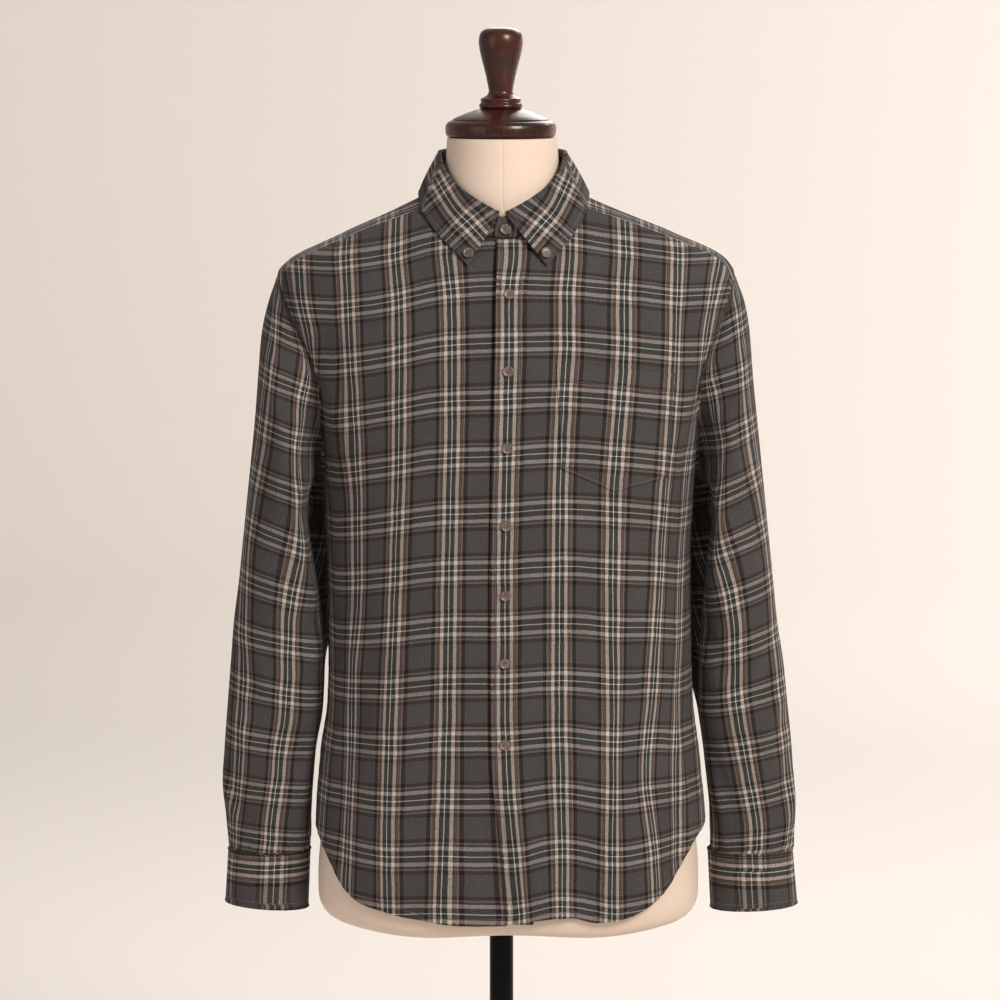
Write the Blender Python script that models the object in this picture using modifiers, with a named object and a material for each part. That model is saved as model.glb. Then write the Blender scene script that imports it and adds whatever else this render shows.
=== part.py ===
"""Checked flannel shirt, buttoned and worn by a limbless dress form on a floor stand.

Metres, +Z up.  The front of the shirt faces -Y and the wearer's right side is at -X.
The origin is on the floor, under the axis of the pole.

Every piece of cloth is a wall of its true thickness.  The fronts, the back and the yoke lie on
one torso skin, given by level sections, and are laid out on it as patches between their seams.
Whatever lies on a panel (placket, pocket, buttons) uses the panel's own points, moved out.
"""
import math

import bmesh
import bpy
import numpy as np
from mathutils import Matrix, Vector

# ---------------------------------------------------------------- driving dimensions
CLOTH = 0.0011            # one brushed flannel layer
DOUBLE_CLOTH = 0.0016     # stand, leaf and cuffs, two layers with interlining
SEAM_GAP = 0.0006         # left between two sewn pieces
LAP = CLOTH + 0.00040     # how far each layer that laps another is moved out

ARMHOLE_HEIGHT = (1.005, 1.213)   # underarm point and shoulder point
ARMHOLE_DEPTH = (0.50, 0.36, 0.48)    # its reach as a share of the depth: upper and lower
                                      # front, and back
YOKE_SEAM_FRONT = 0.031           # the yoke reaches this far in front of the shoulder ridge
YOKE_SEAM_BACK = 1.204            # height of the yoke seam at the centre back
BACK_SEAM_TURN = 50.0             # where it meets the armhole, degrees from the shoulder point
SHOULDER_WRAP = (1.170, 0.80, 3.64)   # yoke: axis height, and how its rays spread sideways

NECK_HALF = 0.070                 # neckline oval, to the side, to the front and to the back
NECK_FRONT = 0.080
NECK_BACK = 0.060
NECK_SHIFT = 0.0022
YOKE_CORNER = 64.0                # where round the neck the yoke's front seam starts, degrees

# Steps along the seams.  Pieces that meet have the same points along their common seam.
SIDE_STEPS = 10
ARM_STEPS = (11, 7, 9)            # armhole: along the front, the yoke and the back
SEAM_STEPS = 8                    # each front yoke seam
NECK_STEPS = (4, 12)              # neckline: each front, and the yoke
CHEST = 0.980                     # at the centre front the armhole's rows start here
YOKE_FAN = 0.23                   # share of the back seam beyond each corner of the neckline

CUFF_LAP = 34.0                   # overlap of the cuff's ends, degrees
STAND_LAP = 7.5                   # overlap of the stand's ends past the centre, degrees
BUTTON_RADIUS = 0.0054
BUTTON_THICK = 0.0024

POLE_RADIUS = 0.0125
BASE_RADIUS = 0.170
BASE_THICK = 0.016
FORM_CLEAR = 0.0033               # form's surface lies this far inside the cloth's outer face

# Torso skin of the shirt: level sections, each a rounded oval with its own front and back depth.
SKIN_COLUMNS = ("z", "half", "shift", "front", "back", "power")
SKIN = (
    (0.500, 0.2065, 0.0097, 0.1285, 0.1270, 2.60),
    (0.6315, 0.2060, 0.0096, 0.1268, 0.1250, 2.60),
    (0.709, 0.1994, 0.0085, 0.1250, 0.1225, 2.55),
    (0.7625, 0.1916, 0.0090, 0.1240, 0.1205, 2.50),
    (0.816, 0.1893, 0.0085, 0.1240, 0.1190, 2.50),
    (0.869, 0.1892, 0.0081, 0.1248, 0.1190, 2.50),
    (0.933, 0.1899, 0.0077, 0.1265, 0.1210, 2.50),
    (0.975, 0.1922, 0.0080, 0.1280, 0.1230, 2.55),
    (1.012, 0.1938, 0.0088, 0.1290, 0.1245, 2.60),
    (1.050, 0.1965, 0.0090, 0.1295, 0.1260, 2.65),
    (1.090, 0.2010, 0.0085, 0.1285, 0.1270, 2.65),
    (1.115, 0.2065, 0.0080, 0.1265, 0.1270, 2.65),
    (1.135, 0.2160, 0.0075, 0.1243, 0.1267, 2.60),
    (1.160, 0.2295, 0.0065, 0.1205, 0.1255, 2.55),
    (1.190, 0.2360, 0.0050, 0.1135, 0.1225, 2.45),
    (1.213, 0.2380, 0.0048, 0.1050, 0.1185, 2.35),
    (1.227, 0.2290, 0.0066, 0.0985, 0.1150, 2.30),
    (1.2354, 0.2170, 0.0078, 0.0930, 0.1125, 2.30),
    (1.2438, 0.1992, 0.0085, 0.0865, 0.1090, 2.30),
    (1.2521, 0.1800, 0.0075, 0.0790, 0.1050, 2.30),
    (1.2604, 0.1620, 0.0066, 0.0710, 0.1000, 2.30),
    (1.2688, 0.1418, 0.0056, 0.0635, 0.0940, 2.30),
    (1.2771, 0.1220, 0.0045, 0.0570, 0.0870, 2.25),
    (1.2854, 0.1035, 0.0032, 0.0510, 0.0780, 2.20),
    (1.2937, 0.0862, 0.0024, 0.0465, 0.0665, 2.15),
    (1.3020, 0.0715, 0.0022, 0.0430, 0.0560, 2.10),
    (1.3110, 0.0560, 0.0022, 0.0380, 0.0450, 2.10),
)

# Dress form: the same kind of sections, with its own waist, under the shirt's ease.
FORM = (
    (0.5285, 0.0330, 0.0072, 0.0280, 0.0280, 2.20),
    (0.5290, 0.1230, 0.0072, 0.0750, 0.0770, 2.40),
    (0.5310, 0.1660, 0.0072, 0.1010, 0.1020, 2.60),
    (0.5360, 0.1880, 0.0072, 0.1140, 0.1150, 2.65),
    (0.5450, 0.1995, 0.0072, 0.1200, 0.1205, 2.65),
    (0.5580, 0.2042, 0.0072, 0.1228, 0.1230, 2.65),
    (0.5800, 0.2045, 0.0072, 0.1228, 0.1228, 2.60),
    (0.6250, 0.2010, 0.0074, 0.1195, 0.1195, 2.55),
    (0.6900, 0.1900, 0.0078, 0.1120, 0.1130, 2.45),
    (0.7600, 0.1755, 0.0080, 0.1060, 0.1040, 2.40),
    (0.8500, 0.1650, 0.0080, 0.1040, 0.0990, 2.35),
    (0.9300, 0.1680, 0.0080, 0.1100, 0.1040, 2.35),
    (1.0000, 0.1740, 0.0080, 0.1190, 0.1120, 2.40),
    (1.0600, 0.1800, 0.0080, 0.1230, 0.1170, 2.45),
    (1.1100, 0.1880, 0.0080, 0.1225, 0.1220, 2.45),
    (1.1500, 0.2010, 0.0072, 0.1185, 0.1220, 2.40),
    (1.1850, 0.2110, 0.0062, 0.1120, 0.1200, 2.35),
    (1.2070, 0.2180, 0.0060, 0.1040, 0.1165, 2.30),
    (1.2200, 0.2200, 0.0062, 0.0990, 0.1140, 2.30),
)
# The levels of its rings, and the column of its neck standing in the neck hole.
FORM_LEVELS = (0.5285, 0.5290, 0.5310, 0.5360, 0.5450, 0.5580, 0.5800, 0.6250, 0.6800, 0.7500,
               0.8200, 0.8900, 0.9600, 1.0200, 1.0800, 1.1300, 1.1700, 1.2000, 1.2200, 1.2310,
               1.2400, 1.2490, 1.2580, 1.2670, 1.2760, 1.2850, 1.2930, 1.3020, 1.3180, 1.3542)
NECK_COLUMNS = ("z", "half", "front", "back")
NECK = (
    (1.2200, 0.0640, 0.0670, 0.0540),
    (1.2850, 0.0625, 0.0655, 0.0515),
    (1.3020, 0.0612, 0.0645, 0.0508),
    (1.3180, 0.0598, 0.0628, 0.0502),
    (1.3542, 0.0572, 0.0592, 0.0488),
)
FORM_LOBES = (0.0085, 0.095, 0.045)   # under each hip: drop, distance from the middle, width

# Height of the hem against the distance from the centre, as a share of the half width.
HEM_COLUMNS = ("out", "front_right", "front_left", "back")
HEM = (
    (0.00, 0.5475, 0.5500, 0.5400),
    (0.20, 0.5468, 0.5545, 0.5405),
    (0.31, 0.5475, 0.5548, 0.5415),
    (0.42, 0.5510, 0.5490, 0.5435),
    (0.54, 0.5545, 0.5510, 0.5480),
    (0.66, 0.5600, 0.5600, 0.5540),
    (0.77, 0.5665, 0.5760, 0.5640),
    (0.85, 0.5800, 0.5980, 0.5780),
    (0.92, 0.6040, 0.6220, 0.6010),
    (1.00, 0.6330, 0.6380, 0.6330),
)

# Free edge of the left front, which swings out to the wearer's left near the hem.
FRONT_EDGE_COLUMNS = ("z", "edge", "width")
FRONT_EDGE = (
    (0.500, 0.0070, 0.0270),
    (0.546, 0.0057, 0.0270),
    (0.601, 0.0026, 0.0270),
    (0.627, -0.0005, 0.0272),
    (0.660, -0.0035, 0.0285),
    (0.690, -0.0085, 0.0300),
    (0.730, -0.0112, 0.0305),
    (0.887, -0.0118, 0.0305),
    (1.092, -0.0076, 0.0305),
    (1.245, -0.0046, 0.0305),
    (1.300, -0.0040, 0.0305),
)

# The largest soft folds of the body, as lines on the skin: girth from the centre front and
# height at both ends, then the fold's half width and how far it stands out (or lies in).
FOLD_COLUMNS = ("girth0", "z0", "girth1", "z1", "width", "rise")
FOLDS = (
    (-0.190, 1.190, -0.196, 1.060, 0.018, 0.0035),     # right front, break beside the armhole
    (0.185, 1.190, 0.192, 1.050, 0.018, 0.0035),       # left front, the same break
    (-0.024, 0.700, -0.014, 0.560, 0.013, -0.0045),    # placket swings forward at the hem
    (0.012, 0.690, 0.022, 0.540, 0.017, 0.0060),
    (0.066, 0.650, 0.072, 0.540, 0.018, -0.0045),
    (0.120, 0.700, 0.128, 0.540, 0.024, 0.0040),
    (-0.120, 0.960, -0.135, 0.560, 0.030, 0.0030),     # long soft folds down the fronts
    (-0.070, 0.860, -0.075, 0.600, 0.024, -0.0025),
    (0.095, 0.930, 0.100, 0.720, 0.026, -0.0025),
    (0.160, 0.900, 0.165, 0.640, 0.024, 0.0035),
    (0.210, 0.800, 0.200, 0.660, 0.020, -0.0030),
    (0.400, 1.080, 0.385, 0.640, 0.036, 0.0060),       # back, from the shoulder blades down
    (0.455, 1.060, 0.450, 0.620, 0.030, -0.0045),
    (-0.390, 1.060, -0.375, 0.620, 0.036, 0.0060),
    (-0.450, 1.040, -0.445, 0.640, 0.030, -0.0045),
)

# Sleeve rings from the armhole to the cuff seam.  "out" is the edge away from the torso and
# "in" the edge next to it; each has its distance from the centre plane and its height.
SLEEVE_COLUMNS = ("x_out", "z_out", "x_in", "z_in", "y_front", "y_back", "power")
RIGHT_SLEEVE = (
    (0.2428, 1.1853, 0.1990, 0.990, -0.0700, 0.0690, 2.10),
    (0.2482, 1.1644, 0.2020, 0.976, -0.0730, 0.0720, 2.10),
    (0.2514, 1.1434, 0.2030, 0.962, -0.0740, 0.0740, 2.15),
    (0.2548, 1.1015, 0.2010, 0.939, -0.0720, 0.0760, 2.20),
    (0.2583, 1.0594, 0.1975, 0.916, -0.0690, 0.0770, 2.20),
    (0.2627, 1.0172, 0.1935, 0.893, -0.0650, 0.0770, 2.20),
    (0.2672, 0.9750, 0.1895, 0.870, -0.0610, 0.0750, 2.20),
    (0.2717, 0.9327, 0.1860, 0.846, -0.0580, 0.0720, 2.20),
    (0.2762, 0.8902, 0.1840, 0.822, -0.0560, 0.0680, 2.20),
    (0.2818, 0.8477, 0.1840, 0.797, -0.0540, 0.0630, 2.20),
    (0.2853, 0.8051, 0.1845, 0.771, -0.0520, 0.0580, 2.20),
    (0.2888, 0.7624, 0.1855, 0.744, -0.0500, 0.0530, 2.20),
    (0.2922, 0.7196, 0.1925, 0.712, -0.0480, 0.0490, 2.20),
    (0.2947, 0.6767, 0.1955, 0.674, -0.0460, 0.0460, 2.20),
    (0.2925, 0.6500, 0.1975, 0.648, -0.0430, 0.0430, 2.20),
    (0.2893, 0.6200, 0.1995, 0.619, -0.0390, 0.0390, 2.15),
    (0.2885, 0.6038, 0.2025, 0.6038, -0.0350, 0.0350, 2.10),
)
LEFT_SLEEVE = (
    (0.2532, 1.1853, 0.2180, 0.990, -0.0700, 0.0690, 2.10),
    (0.2576, 1.1644, 0.2200, 0.976, -0.0730, 0.0720, 2.10),
    (0.2598, 1.1434, 0.2205, 0.962, -0.0740, 0.0740, 2.15),
    (0.2632, 1.1015, 0.2190, 0.939, -0.0720, 0.0760, 2.20),
    (0.2677, 1.0594, 0.2155, 0.916, -0.0690, 0.0770, 2.20),
    (0.2722, 1.0172, 0.2135, 0.893, -0.0650, 0.0770, 2.20),
    (0.2767, 0.9750, 0.2115, 0.870, -0.0610, 0.0750, 2.20),
    (0.2812, 0.9327, 0.2095, 0.846, -0.0580, 0.0720, 2.20),
    (0.2857, 0.8902, 0.2080, 0.822, -0.0560, 0.0680, 2.20),
    (0.2902, 0.8477, 0.2065, 0.797, -0.0540, 0.0630, 2.20),
    (0.2969, 0.8051, 0.2060, 0.771, -0.0520, 0.0580, 2.20),
    (0.3014, 0.7624, 0.2062, 0.744, -0.0500, 0.0530, 2.20),
    (0.3060, 0.7196, 0.2100, 0.712, -0.0480, 0.0490, 2.20),
    (0.3090, 0.6767, 0.2140, 0.674, -0.0460, 0.0460, 2.20),
    (0.3110, 0.6500, 0.2165, 0.648, -0.0440, 0.0440, 2.20),
    (0.3095, 0.6200, 0.2180, 0.619, -0.0400, 0.0400, 2.15),
    (0.3080, 0.6030, 0.2190, 0.6030, -0.0350, 0.0350, 2.10),
)
SLEEVE_CLEAR = 0.0022     # kept between the sleeve's outer face and the body
SLEEVE_TUCK = 0.027       # how far its inner back part lies in behind the body, under the armhole
SLEEVE_VALLEY = 0.016     # depth of the hollow beside the lower front of the armhole seam

# Cuff rings, top and bottom: both edges, depth either way, height and how far the front dips.
CUFF_COLUMNS = ("x_out", "x_in", "depth", "z_out", "z_in", "dip")
RIGHT_CUFF = ((0.2888, 0.2032, 0.0345, 0.6030, 0.6030, 0.0),
              (0.2922, 0.2056, 0.0350, 0.5496, 0.5432, 0.0))
LEFT_CUFF = ((0.3080, 0.2192, 0.0345, 0.6022, 0.6022, 0.0),
             (0.3130, 0.2224, 0.0350, 0.5470, 0.5425, 0.0))

# Collar: round the neck from the centre front (0) to the centre back (180 degrees).
COLLAR_COLUMNS = ("turn", "stand_half", "stand_front", "crest")
COLLAR = (
    (0.0, 0.0640, 0.0752, 1.2795),
    (15.0, 0.0640, 0.0740, 1.2880),
    (30.0, 0.0642, 0.0725, 1.2975),
    (45.0, 0.0645, 0.0710, 1.3070),
    (60.0, 0.0648, 0.0690, 1.3190),
    (75.0, 0.0650, 0.0660, 1.3320),
    (90.0, 0.0650, 0.0630, 1.3405),
    (120.0, 0.0648, 0.0590, 1.3420),
    (180.0, 0.0645, 0.0560, 1.3410),
)
LEAF_RISE = 0.0045        # the leaf stands this far above the top of the stand
# Outer edge of the leaf, from its point round to the centre back: where it lies on the torso
# skin, and how far off the skin.
LEAF_EDGE_COLUMNS = ("share", "half", "z", "off")
LEAF_EDGE = (
    (0.00, 0.0403, 1.2262, 0.0038),
    (0.10, 0.0556, 1.2425, 0.0036),
    (0.20, 0.0682, 1.2550, 0.0032),
    (0.30, 0.0770, 1.2670, 0.0034),
    (0.40, 0.0840, 1.2790, 0.0038),
)
LEAF_EDGE_BACK_COLUMNS = ("share", "turn", "z", "off")
LEAF_EDGE_BACK = (
    (0.50, 84.0, 1.2930, 0.0042),
    (0.62, 106.0, 1.2940, 0.0044),
    (0.75, 128.0, 1.2910, 0.0044),
    (0.88, 154.0, 1.2890, 0.0050),
    (1.00, 180.0, 1.2880, 0.0052),
)

BUTTONS = ((0.0080, 1.1990), (0.0068, 1.1215), (0.0058, 1.0435), (0.0046, 0.9638),
           (0.0040, 0.8915), (0.0036, 0.8212), (0.0036, 0.7372))
STAND_BUTTON = (0.0042, 1.2632)
COLLAR_BUTTON = (0.0394, 1.2398)      # from the shirt's centre, and height

# Pocket on the left front: corners as distance from the middle plane and height.
POCKET_TOP = ((0.0564, 1.1310), (0.1765, 1.1165))
POCKET_FOOT = ((0.0610, 1.0225), (0.1690, 1.0095))
POCKET_POINT = (0.1150, 0.9984)

NECK_CAP_PROFILE = ((0.0, 1.3545), (0.0500, 1.3545), (0.0560, 1.3556), (0.0577, 1.3590),
                    (0.0577, 1.3660), (0.0563, 1.3700), (0.0530, 1.3728), (0.0380, 1.3790),
                    (0.0225, 1.3842), (0.0, 1.3842))
FINIAL_PROFILE = ((0.0, 1.3845), (0.0222, 1.3845), (0.0222, 1.3880), (0.0208, 1.3945),
                  (0.0150, 1.3972), (0.0124, 1.4010), (0.0140, 1.4098), (0.0156, 1.4180),
                  (0.0177, 1.4264), (0.0200, 1.4350), (0.0222, 1.4450), (0.0230, 1.4540),
                  (0.0215, 1.4615), (0.0150, 1.4670), (0.0, 1.4687))
BASE_PROFILE = ((0.0, 0.0), (BASE_RADIUS, 0.0), (BASE_RADIUS, 0.005),
                (BASE_RADIUS - 0.004, 0.0085), (0.060, 0.0125), (0.022, BASE_THICK),
                (0.0, BASE_THICK))


# ---------------------------------------------------------------- reading the tables
class Track:
    """Smooth reading of one table column with no overshoot between its rows."""

    def __init__(self, at, value):
        self.at = np.asarray(at, float)
        self.value = np.asarray(value, float)
        step = np.diff(self.at)
        slope = np.diff(self.value) / step
        tangent = np.zeros_like(self.value)
        tangent[0] = slope[0]
        tangent[-1] = slope[-1]
        for i in range(1, len(slope)):
            before, after = slope[i - 1], slope[i]
            if before * after > 0.0:
                wide, narrow = 2 * step[i] + step[i - 1], step[i] + 2 * step[i - 1]
                tangent[i] = (wide + narrow) / (wide / before + narrow / after)
        self.tangent = tangent

    def __call__(self, where):
        where = np.clip(np.asarray(where, float), self.at[0], self.at[-1])
        i = np.clip(np.searchsorted(self.at, where) - 1, 0, len(self.at) - 2)
        step = self.at[i + 1] - self.at[i]
        t = (where - self.at[i]) / step
        return ((1 + 2 * t) * (1 - t) ** 2 * self.value[i]
                + t * (1 - t) ** 2 * step * self.tangent[i]
                + t * t * (3 - 2 * t) * self.value[i + 1]
                + t * t * (t - 1) * step * self.tangent[i + 1])


def tracks(columns, rows):
    """One Track for each column after the first, keyed by its name."""
    cells = list(zip(*rows))
    return {name: Track(cells[0], cells[k]) for k, name in enumerate(columns) if k}


SHIRT_SKIN = tracks(SKIN_COLUMNS, SKIN)
FORM_SKIN = tracks(SKIN_COLUMNS, FORM)
HEM_LINE = tracks(HEM_COLUMNS, HEM)
EDGE_LINE = tracks(FRONT_EDGE_COLUMNS, FRONT_EDGE)
COLLAR_LINE = tracks(COLLAR_COLUMNS, COLLAR)
NECK_LINE = tracks(NECK_COLUMNS, NECK)


def smooth_step(low, high, value):
    t = np.clip((np.asarray(value, float) - low) / (high - low), 0.0, 1.0)
    return t * t * (3 - 2 * t)


# ---------------------------------------------------------------- torso skin
def girth_of(turn):
    """Distance round the body from the centre front, at the chest, for a turn."""
    turn = (np.asarray(turn, float) + math.pi) % (2 * math.pi) - math.pi
    return np.sign(turn) * np.interp(np.abs(turn), GIRTH_TURNS, GIRTH_RUN)


def fold_height(turn, z):
    """How far the folds lift the cloth at a turn round the body and a height."""
    girth = girth_of(turn)
    total = np.zeros(np.broadcast(girth, z).shape)
    for g0, z0, g1, z1, width, rise in FOLDS:
        run_g, run_z = g1 - g0, z1 - z0
        along = ((girth - g0) * run_g + (z - z0) * run_z) / (run_g ** 2 + run_z ** 2)
        near = np.clip(along, 0.0, 1.0)
        away = np.hypot(girth - g0 - near * run_g, z - z0 - near * run_z)
        total = total + rise * np.exp(-(away / width) ** 2) * (0.45 + 0.55 * np.sin(math.pi * near))
    return total


def section_point(skin, turn, z):
    """Point of a level section: turn is 0 at the centre front and +90 degrees at +X."""
    turn, z = np.broadcast_arrays(np.asarray(turn, float), np.asarray(z, float))
    power = skin["power"](z)
    side, ahead = np.sin(turn), np.cos(turn)
    reach = (np.abs(side) ** power + np.abs(ahead) ** power) ** (-1.0 / power)
    depth = np.where(ahead > 0, skin["front"](z), skin["back"](z))
    x = skin["shift"](z) + skin["half"](z) * side * reach
    return np.stack([x, -depth * ahead * reach, z], axis=-1)


GIRTH_TURNS = np.linspace(0.0, math.pi, 181)
GIRTH_RUN = np.concatenate([[0.0], np.cumsum(np.linalg.norm(np.diff(
    section_point(SHIRT_SKIN, GIRTH_TURNS, 1.0), axis=0), axis=1))])


def skin_normal(skin, turn, z):
    small = 1e-4
    round_way = section_point(skin, turn + small, z) - section_point(skin, turn - small, z)
    up_way = section_point(skin, turn, z + small) - section_point(skin, turn, z - small)
    normal = np.cross(round_way, up_way)
    return normal / np.linalg.norm(normal, axis=-1, keepdims=True)


def body_point(turn, z, out=0.0):
    """Outer face of the shirt's body, moved out along its normal."""
    turn, z = np.broadcast_arrays(np.asarray(turn, float), np.asarray(z, float))
    lift = fold_height(turn, z) + out
    return section_point(SHIRT_SKIN, turn, z) + lift[..., None] * skin_normal(SHIRT_SKIN, turn, z)


def turn_at(x, z, back=False):
    """Turn round the body at which a level section passes a distance from the middle plane."""
    share = np.clip((x - SHIRT_SKIN["shift"](z)) / SHIRT_SKIN["half"](z), -1.0, 1.0)
    power = SHIRT_SKIN["power"](z)
    ahead = np.maximum(1.0 - np.abs(share) ** power, 0.0) ** (1.0 / power)
    return np.arctan2(share, -ahead if back else ahead)


def outside(x, y, z):
    """Over 1 outside the torso skin and under 1 inside."""
    power = SHIRT_SKIN["power"](z)
    depth = np.where(y < 0, SHIRT_SKIN["front"](z), SHIRT_SKIN["back"](z))
    half = SHIRT_SKIN["half"](z)
    return (np.abs(x - SHIRT_SKIN["shift"](z)) / half) ** power + (np.abs(y) / depth) ** power


def turn_of(x, y, z):
    depth = np.where(y < 0, SHIRT_SKIN["front"](z), SHIRT_SKIN["back"](z))
    return np.arctan2((x - SHIRT_SKIN["shift"](z)) / SHIRT_SKIN["half"](z), -y / depth)


def halve(low, high, is_inside, rounds=40):
    """Where a test turns from inside (low) to outside (high)."""
    low, high = np.array(low, float), np.array(high, float)
    for _ in range(rounds):
        middle = (low + high) / 2
        inside = is_inside(middle)
        low = np.where(inside, middle, low)
        high = np.where(inside, high, middle)
    return (low + high) / 2


def height_over(x, y):
    """Height of the torso skin straight above a point of the plan."""
    x, y = np.broadcast_arrays(np.asarray(x, float), np.asarray(y, float))
    return halve(np.full(x.shape, 1.18), np.full(x.shape, 1.311), lambda z: outside(x, y, z) < 1.0)


def wrap_point(spread, lean):
    """Turn and height of the skin on a ray that leaves the shoulder axis at a lean.  Rays
    further along the axis spread further outwards."""
    axis, near, widen = SHOULDER_WRAP
    spread, lean = np.broadcast_arrays(np.asarray(spread, float), np.asarray(lean, float))
    reach = halve(np.zeros(lean.shape), np.full(lean.shape, 0.16),
                  lambda r: outside(spread * (near + widen * r), r * np.sin(lean),
                                    axis + r * np.cos(lean)) < 1.0)
    x, y, z = spread * (near + widen * reach), reach * np.sin(lean), axis + reach * np.cos(lean)
    return turn_of(x, y, z), z


def armhole(side, around):
    """Turn and height of the armhole: around is 0 at the shoulder and 180 degrees below."""
    low, high = ARMHOLE_HEIGHT
    z = (low + high) / 2 + (high - low) / 2 * np.cos(around)
    ahead = np.sin(around)
    front = ARMHOLE_DEPTH[0] + (ARMHOLE_DEPTH[1] - ARMHOLE_DEPTH[0]) * smooth_step(
        math.radians(55), math.radians(125), np.abs(around))
    pointed = 1.0 + 0.7 * smooth_step(math.radians(95), math.radians(150), np.abs(around))
    depth = np.where(ahead > 0, front, ARMHOLE_DEPTH[2]) * np.abs(ahead) ** pointed
    power = SHIRT_SKIN["power"](z)
    across = (1.0 - depth ** power) ** (1.0 / power)
    return side * np.arctan2(across, np.sign(ahead) * depth), z


def armhole_stops(side):
    """Angles of the armhole's points: up the front, over the yoke and down the back."""
    meet = float(halve(0.0, math.radians(80),
                       lambda a: -body_point(*armhole(side, a))[..., 1] < YOKE_SEAM_FRONT))
    back = -math.radians(BACK_SEAM_TURN)
    front, over, rear = ARM_STEPS
    return (np.linspace(math.pi, meet, front + 1), np.linspace(meet, back, over + 1),
            np.linspace(back, -math.pi, rear + 1))


def neckline(around):
    """Plan position and height of the neckline, around is 0 at the centre front."""
    long_way = np.where(np.cos(around) > 0, NECK_FRONT, NECK_BACK)
    x = NECK_SHIFT + NECK_HALF * np.sin(around)
    y = -long_way * np.cos(around)
    return x, y, height_over(x, y)


def neck_edge(around):
    """The neckline as turn and height on the skin."""
    x, y, z = neckline(np.asarray(around, float))
    return np.stack([turn_of(x, y, z), z], -1)


def front_seam(side):
    """Front yoke seam from the neckline to the armhole, as turn and height."""
    x0, y0, _ = neckline(np.asarray(side * math.radians(YOKE_CORNER)))
    x1, y1, _ = section_point(SHIRT_SKIN, *armhole(side, armhole_stops(side)[0][-1]))
    share = np.linspace(0.0, 1.0, SEAM_STEPS + 1)
    x, y = x0 + (x1 - x0) * share, y0 + (y1 - y0) * share
    z = height_over(x, y)
    line = np.stack([turn_of(x, y, z), z], -1)
    line[-1] = armhole(side, armhole_stops(side)[0][-1])
    return line


def back_seam():
    """Back yoke seam from the right armhole to the left one, as turn and height."""
    ends = [armhole(side, np.asarray(-math.radians(BACK_SEAM_TURN))) for side in (-1, 1)]
    x = [float(section_point(SHIRT_SKIN, *end)[0]) for end in ends]
    share = np.concatenate([np.linspace(0.0, YOKE_FAN, SEAM_STEPS + 1),
                            np.linspace(YOKE_FAN, 1 - YOKE_FAN, NECK_STEPS[1] + 1)[1:-1],
                            np.linspace(1 - YOKE_FAN, 1.0, SEAM_STEPS + 1)])
    height = YOKE_SEAM_BACK
    drop = height - float(ends[0][1])
    z = height - drop * (2 * share - 1) ** 2
    across = x[0] + (x[1] - x[0]) * share
    turn = turn_at(across, z, back=True)
    turn[0], turn[-1] = ends[0][0], ends[1][0]
    return np.stack([turn, z], -1)


def shifted(line, gap):
    """A line on the skin moved sideways within the skin, to the left of its run."""
    points = section_point(SHIRT_SKIN, line[:, 0], line[:, 1])
    run = np.gradient(points, axis=0)
    run /= np.linalg.norm(run, axis=1, keepdims=True)
    moved = points + gap * np.cross(skin_normal(SHIRT_SKIN, line[:, 0], line[:, 1]), run)
    turn = turn_of(moved[:, 0], moved[:, 1], moved[:, 2])
    turn = turn + 2 * math.pi * np.round((line[:, 0] - turn) / (2 * math.pi))
    return np.stack([turn, moved[:, 2]], -1)


# ---------------------------------------------------------------- patches and walls
def patch(bottom, top, start, end, hold=1.0):
    """Coons patch between four edges of points.  bottom and top run from start to end, and
    start and end run upwards.  A higher hold keeps the top edge's shape nearer the top."""
    u = np.linspace(0.0, 1.0, len(bottom))[None, :, None]
    v = np.linspace(0.0, 1.0, len(start))[:, None, None]
    low_curve = bottom[None] - (1 - u) * bottom[0] - u * bottom[-1]
    high_curve = top[None] - (1 - u) * top[0] - u * top[-1]
    across = (1 - u) * start[:, None] + u * end[:, None]
    blend = across + (1 - v) * low_curve + v ** hold * high_curve
    return [blend[..., k] for k in range(blend.shape[-1])]


def body_patch(*edges):
    """Coons patch between four lines on the skin, carried back onto the skin."""
    edges = [section_point(SHIRT_SKIN, line[:, 0], line[:, 1]) for line in edges]
    x, y, z = patch(*edges, hold=3.0)
    return turn_of(x, y, z), z


def material(name, colour, roughness, metallic=0.0):
    made = bpy.data.materials.new(name)
    made.use_nodes = True
    shader = made.node_tree.nodes["Principled BSDF"]
    shader.inputs["Base Color"].default_value = (*colour, 1.0)
    shader.inputs["Roughness"].default_value = roughness
    shader.inputs["Metallic"].default_value = metallic
    return made


def add_object(name, mesh, finish):
    thing = bpy.data.objects.new(name, mesh)
    thing.data.materials.append(finish)
    PARTS.objects.link(thing)
    for face in mesh.polygons:
        face.use_smooth = True
    return thing


def grid_mesh(name, grid, ring=False, flip=False):
    """Quads between the rows and columns of a grid of points; a ring closes each row."""
    rows, columns = grid.shape[:2]
    faces = []
    for r in range(rows - 1):
        for c in range(columns if ring else columns - 1):
            after = (c + 1) % columns
            quad = [r * columns + c, r * columns + after,
                    (r + 1) * columns + after, (r + 1) * columns + c]
            faces.append(quad[::-1] if flip else quad)
    mesh = bpy.data.meshes.new(name)
    mesh.from_pydata([tuple(p) for p in grid.reshape(-1, 3)], [], faces)
    mesh.update()
    return mesh


def wall(name, grid, thick, finish, ring=False, flip=False):
    """A cloth wall: the grid is its outer face and the thickness goes inwards."""
    piece = add_object(name, grid_mesh(name, grid, ring, flip), finish)
    solid = piece.modifiers.new("cloth", "SOLIDIFY")
    solid.thickness = thick
    solid.offset = -1.0
    return piece


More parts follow.
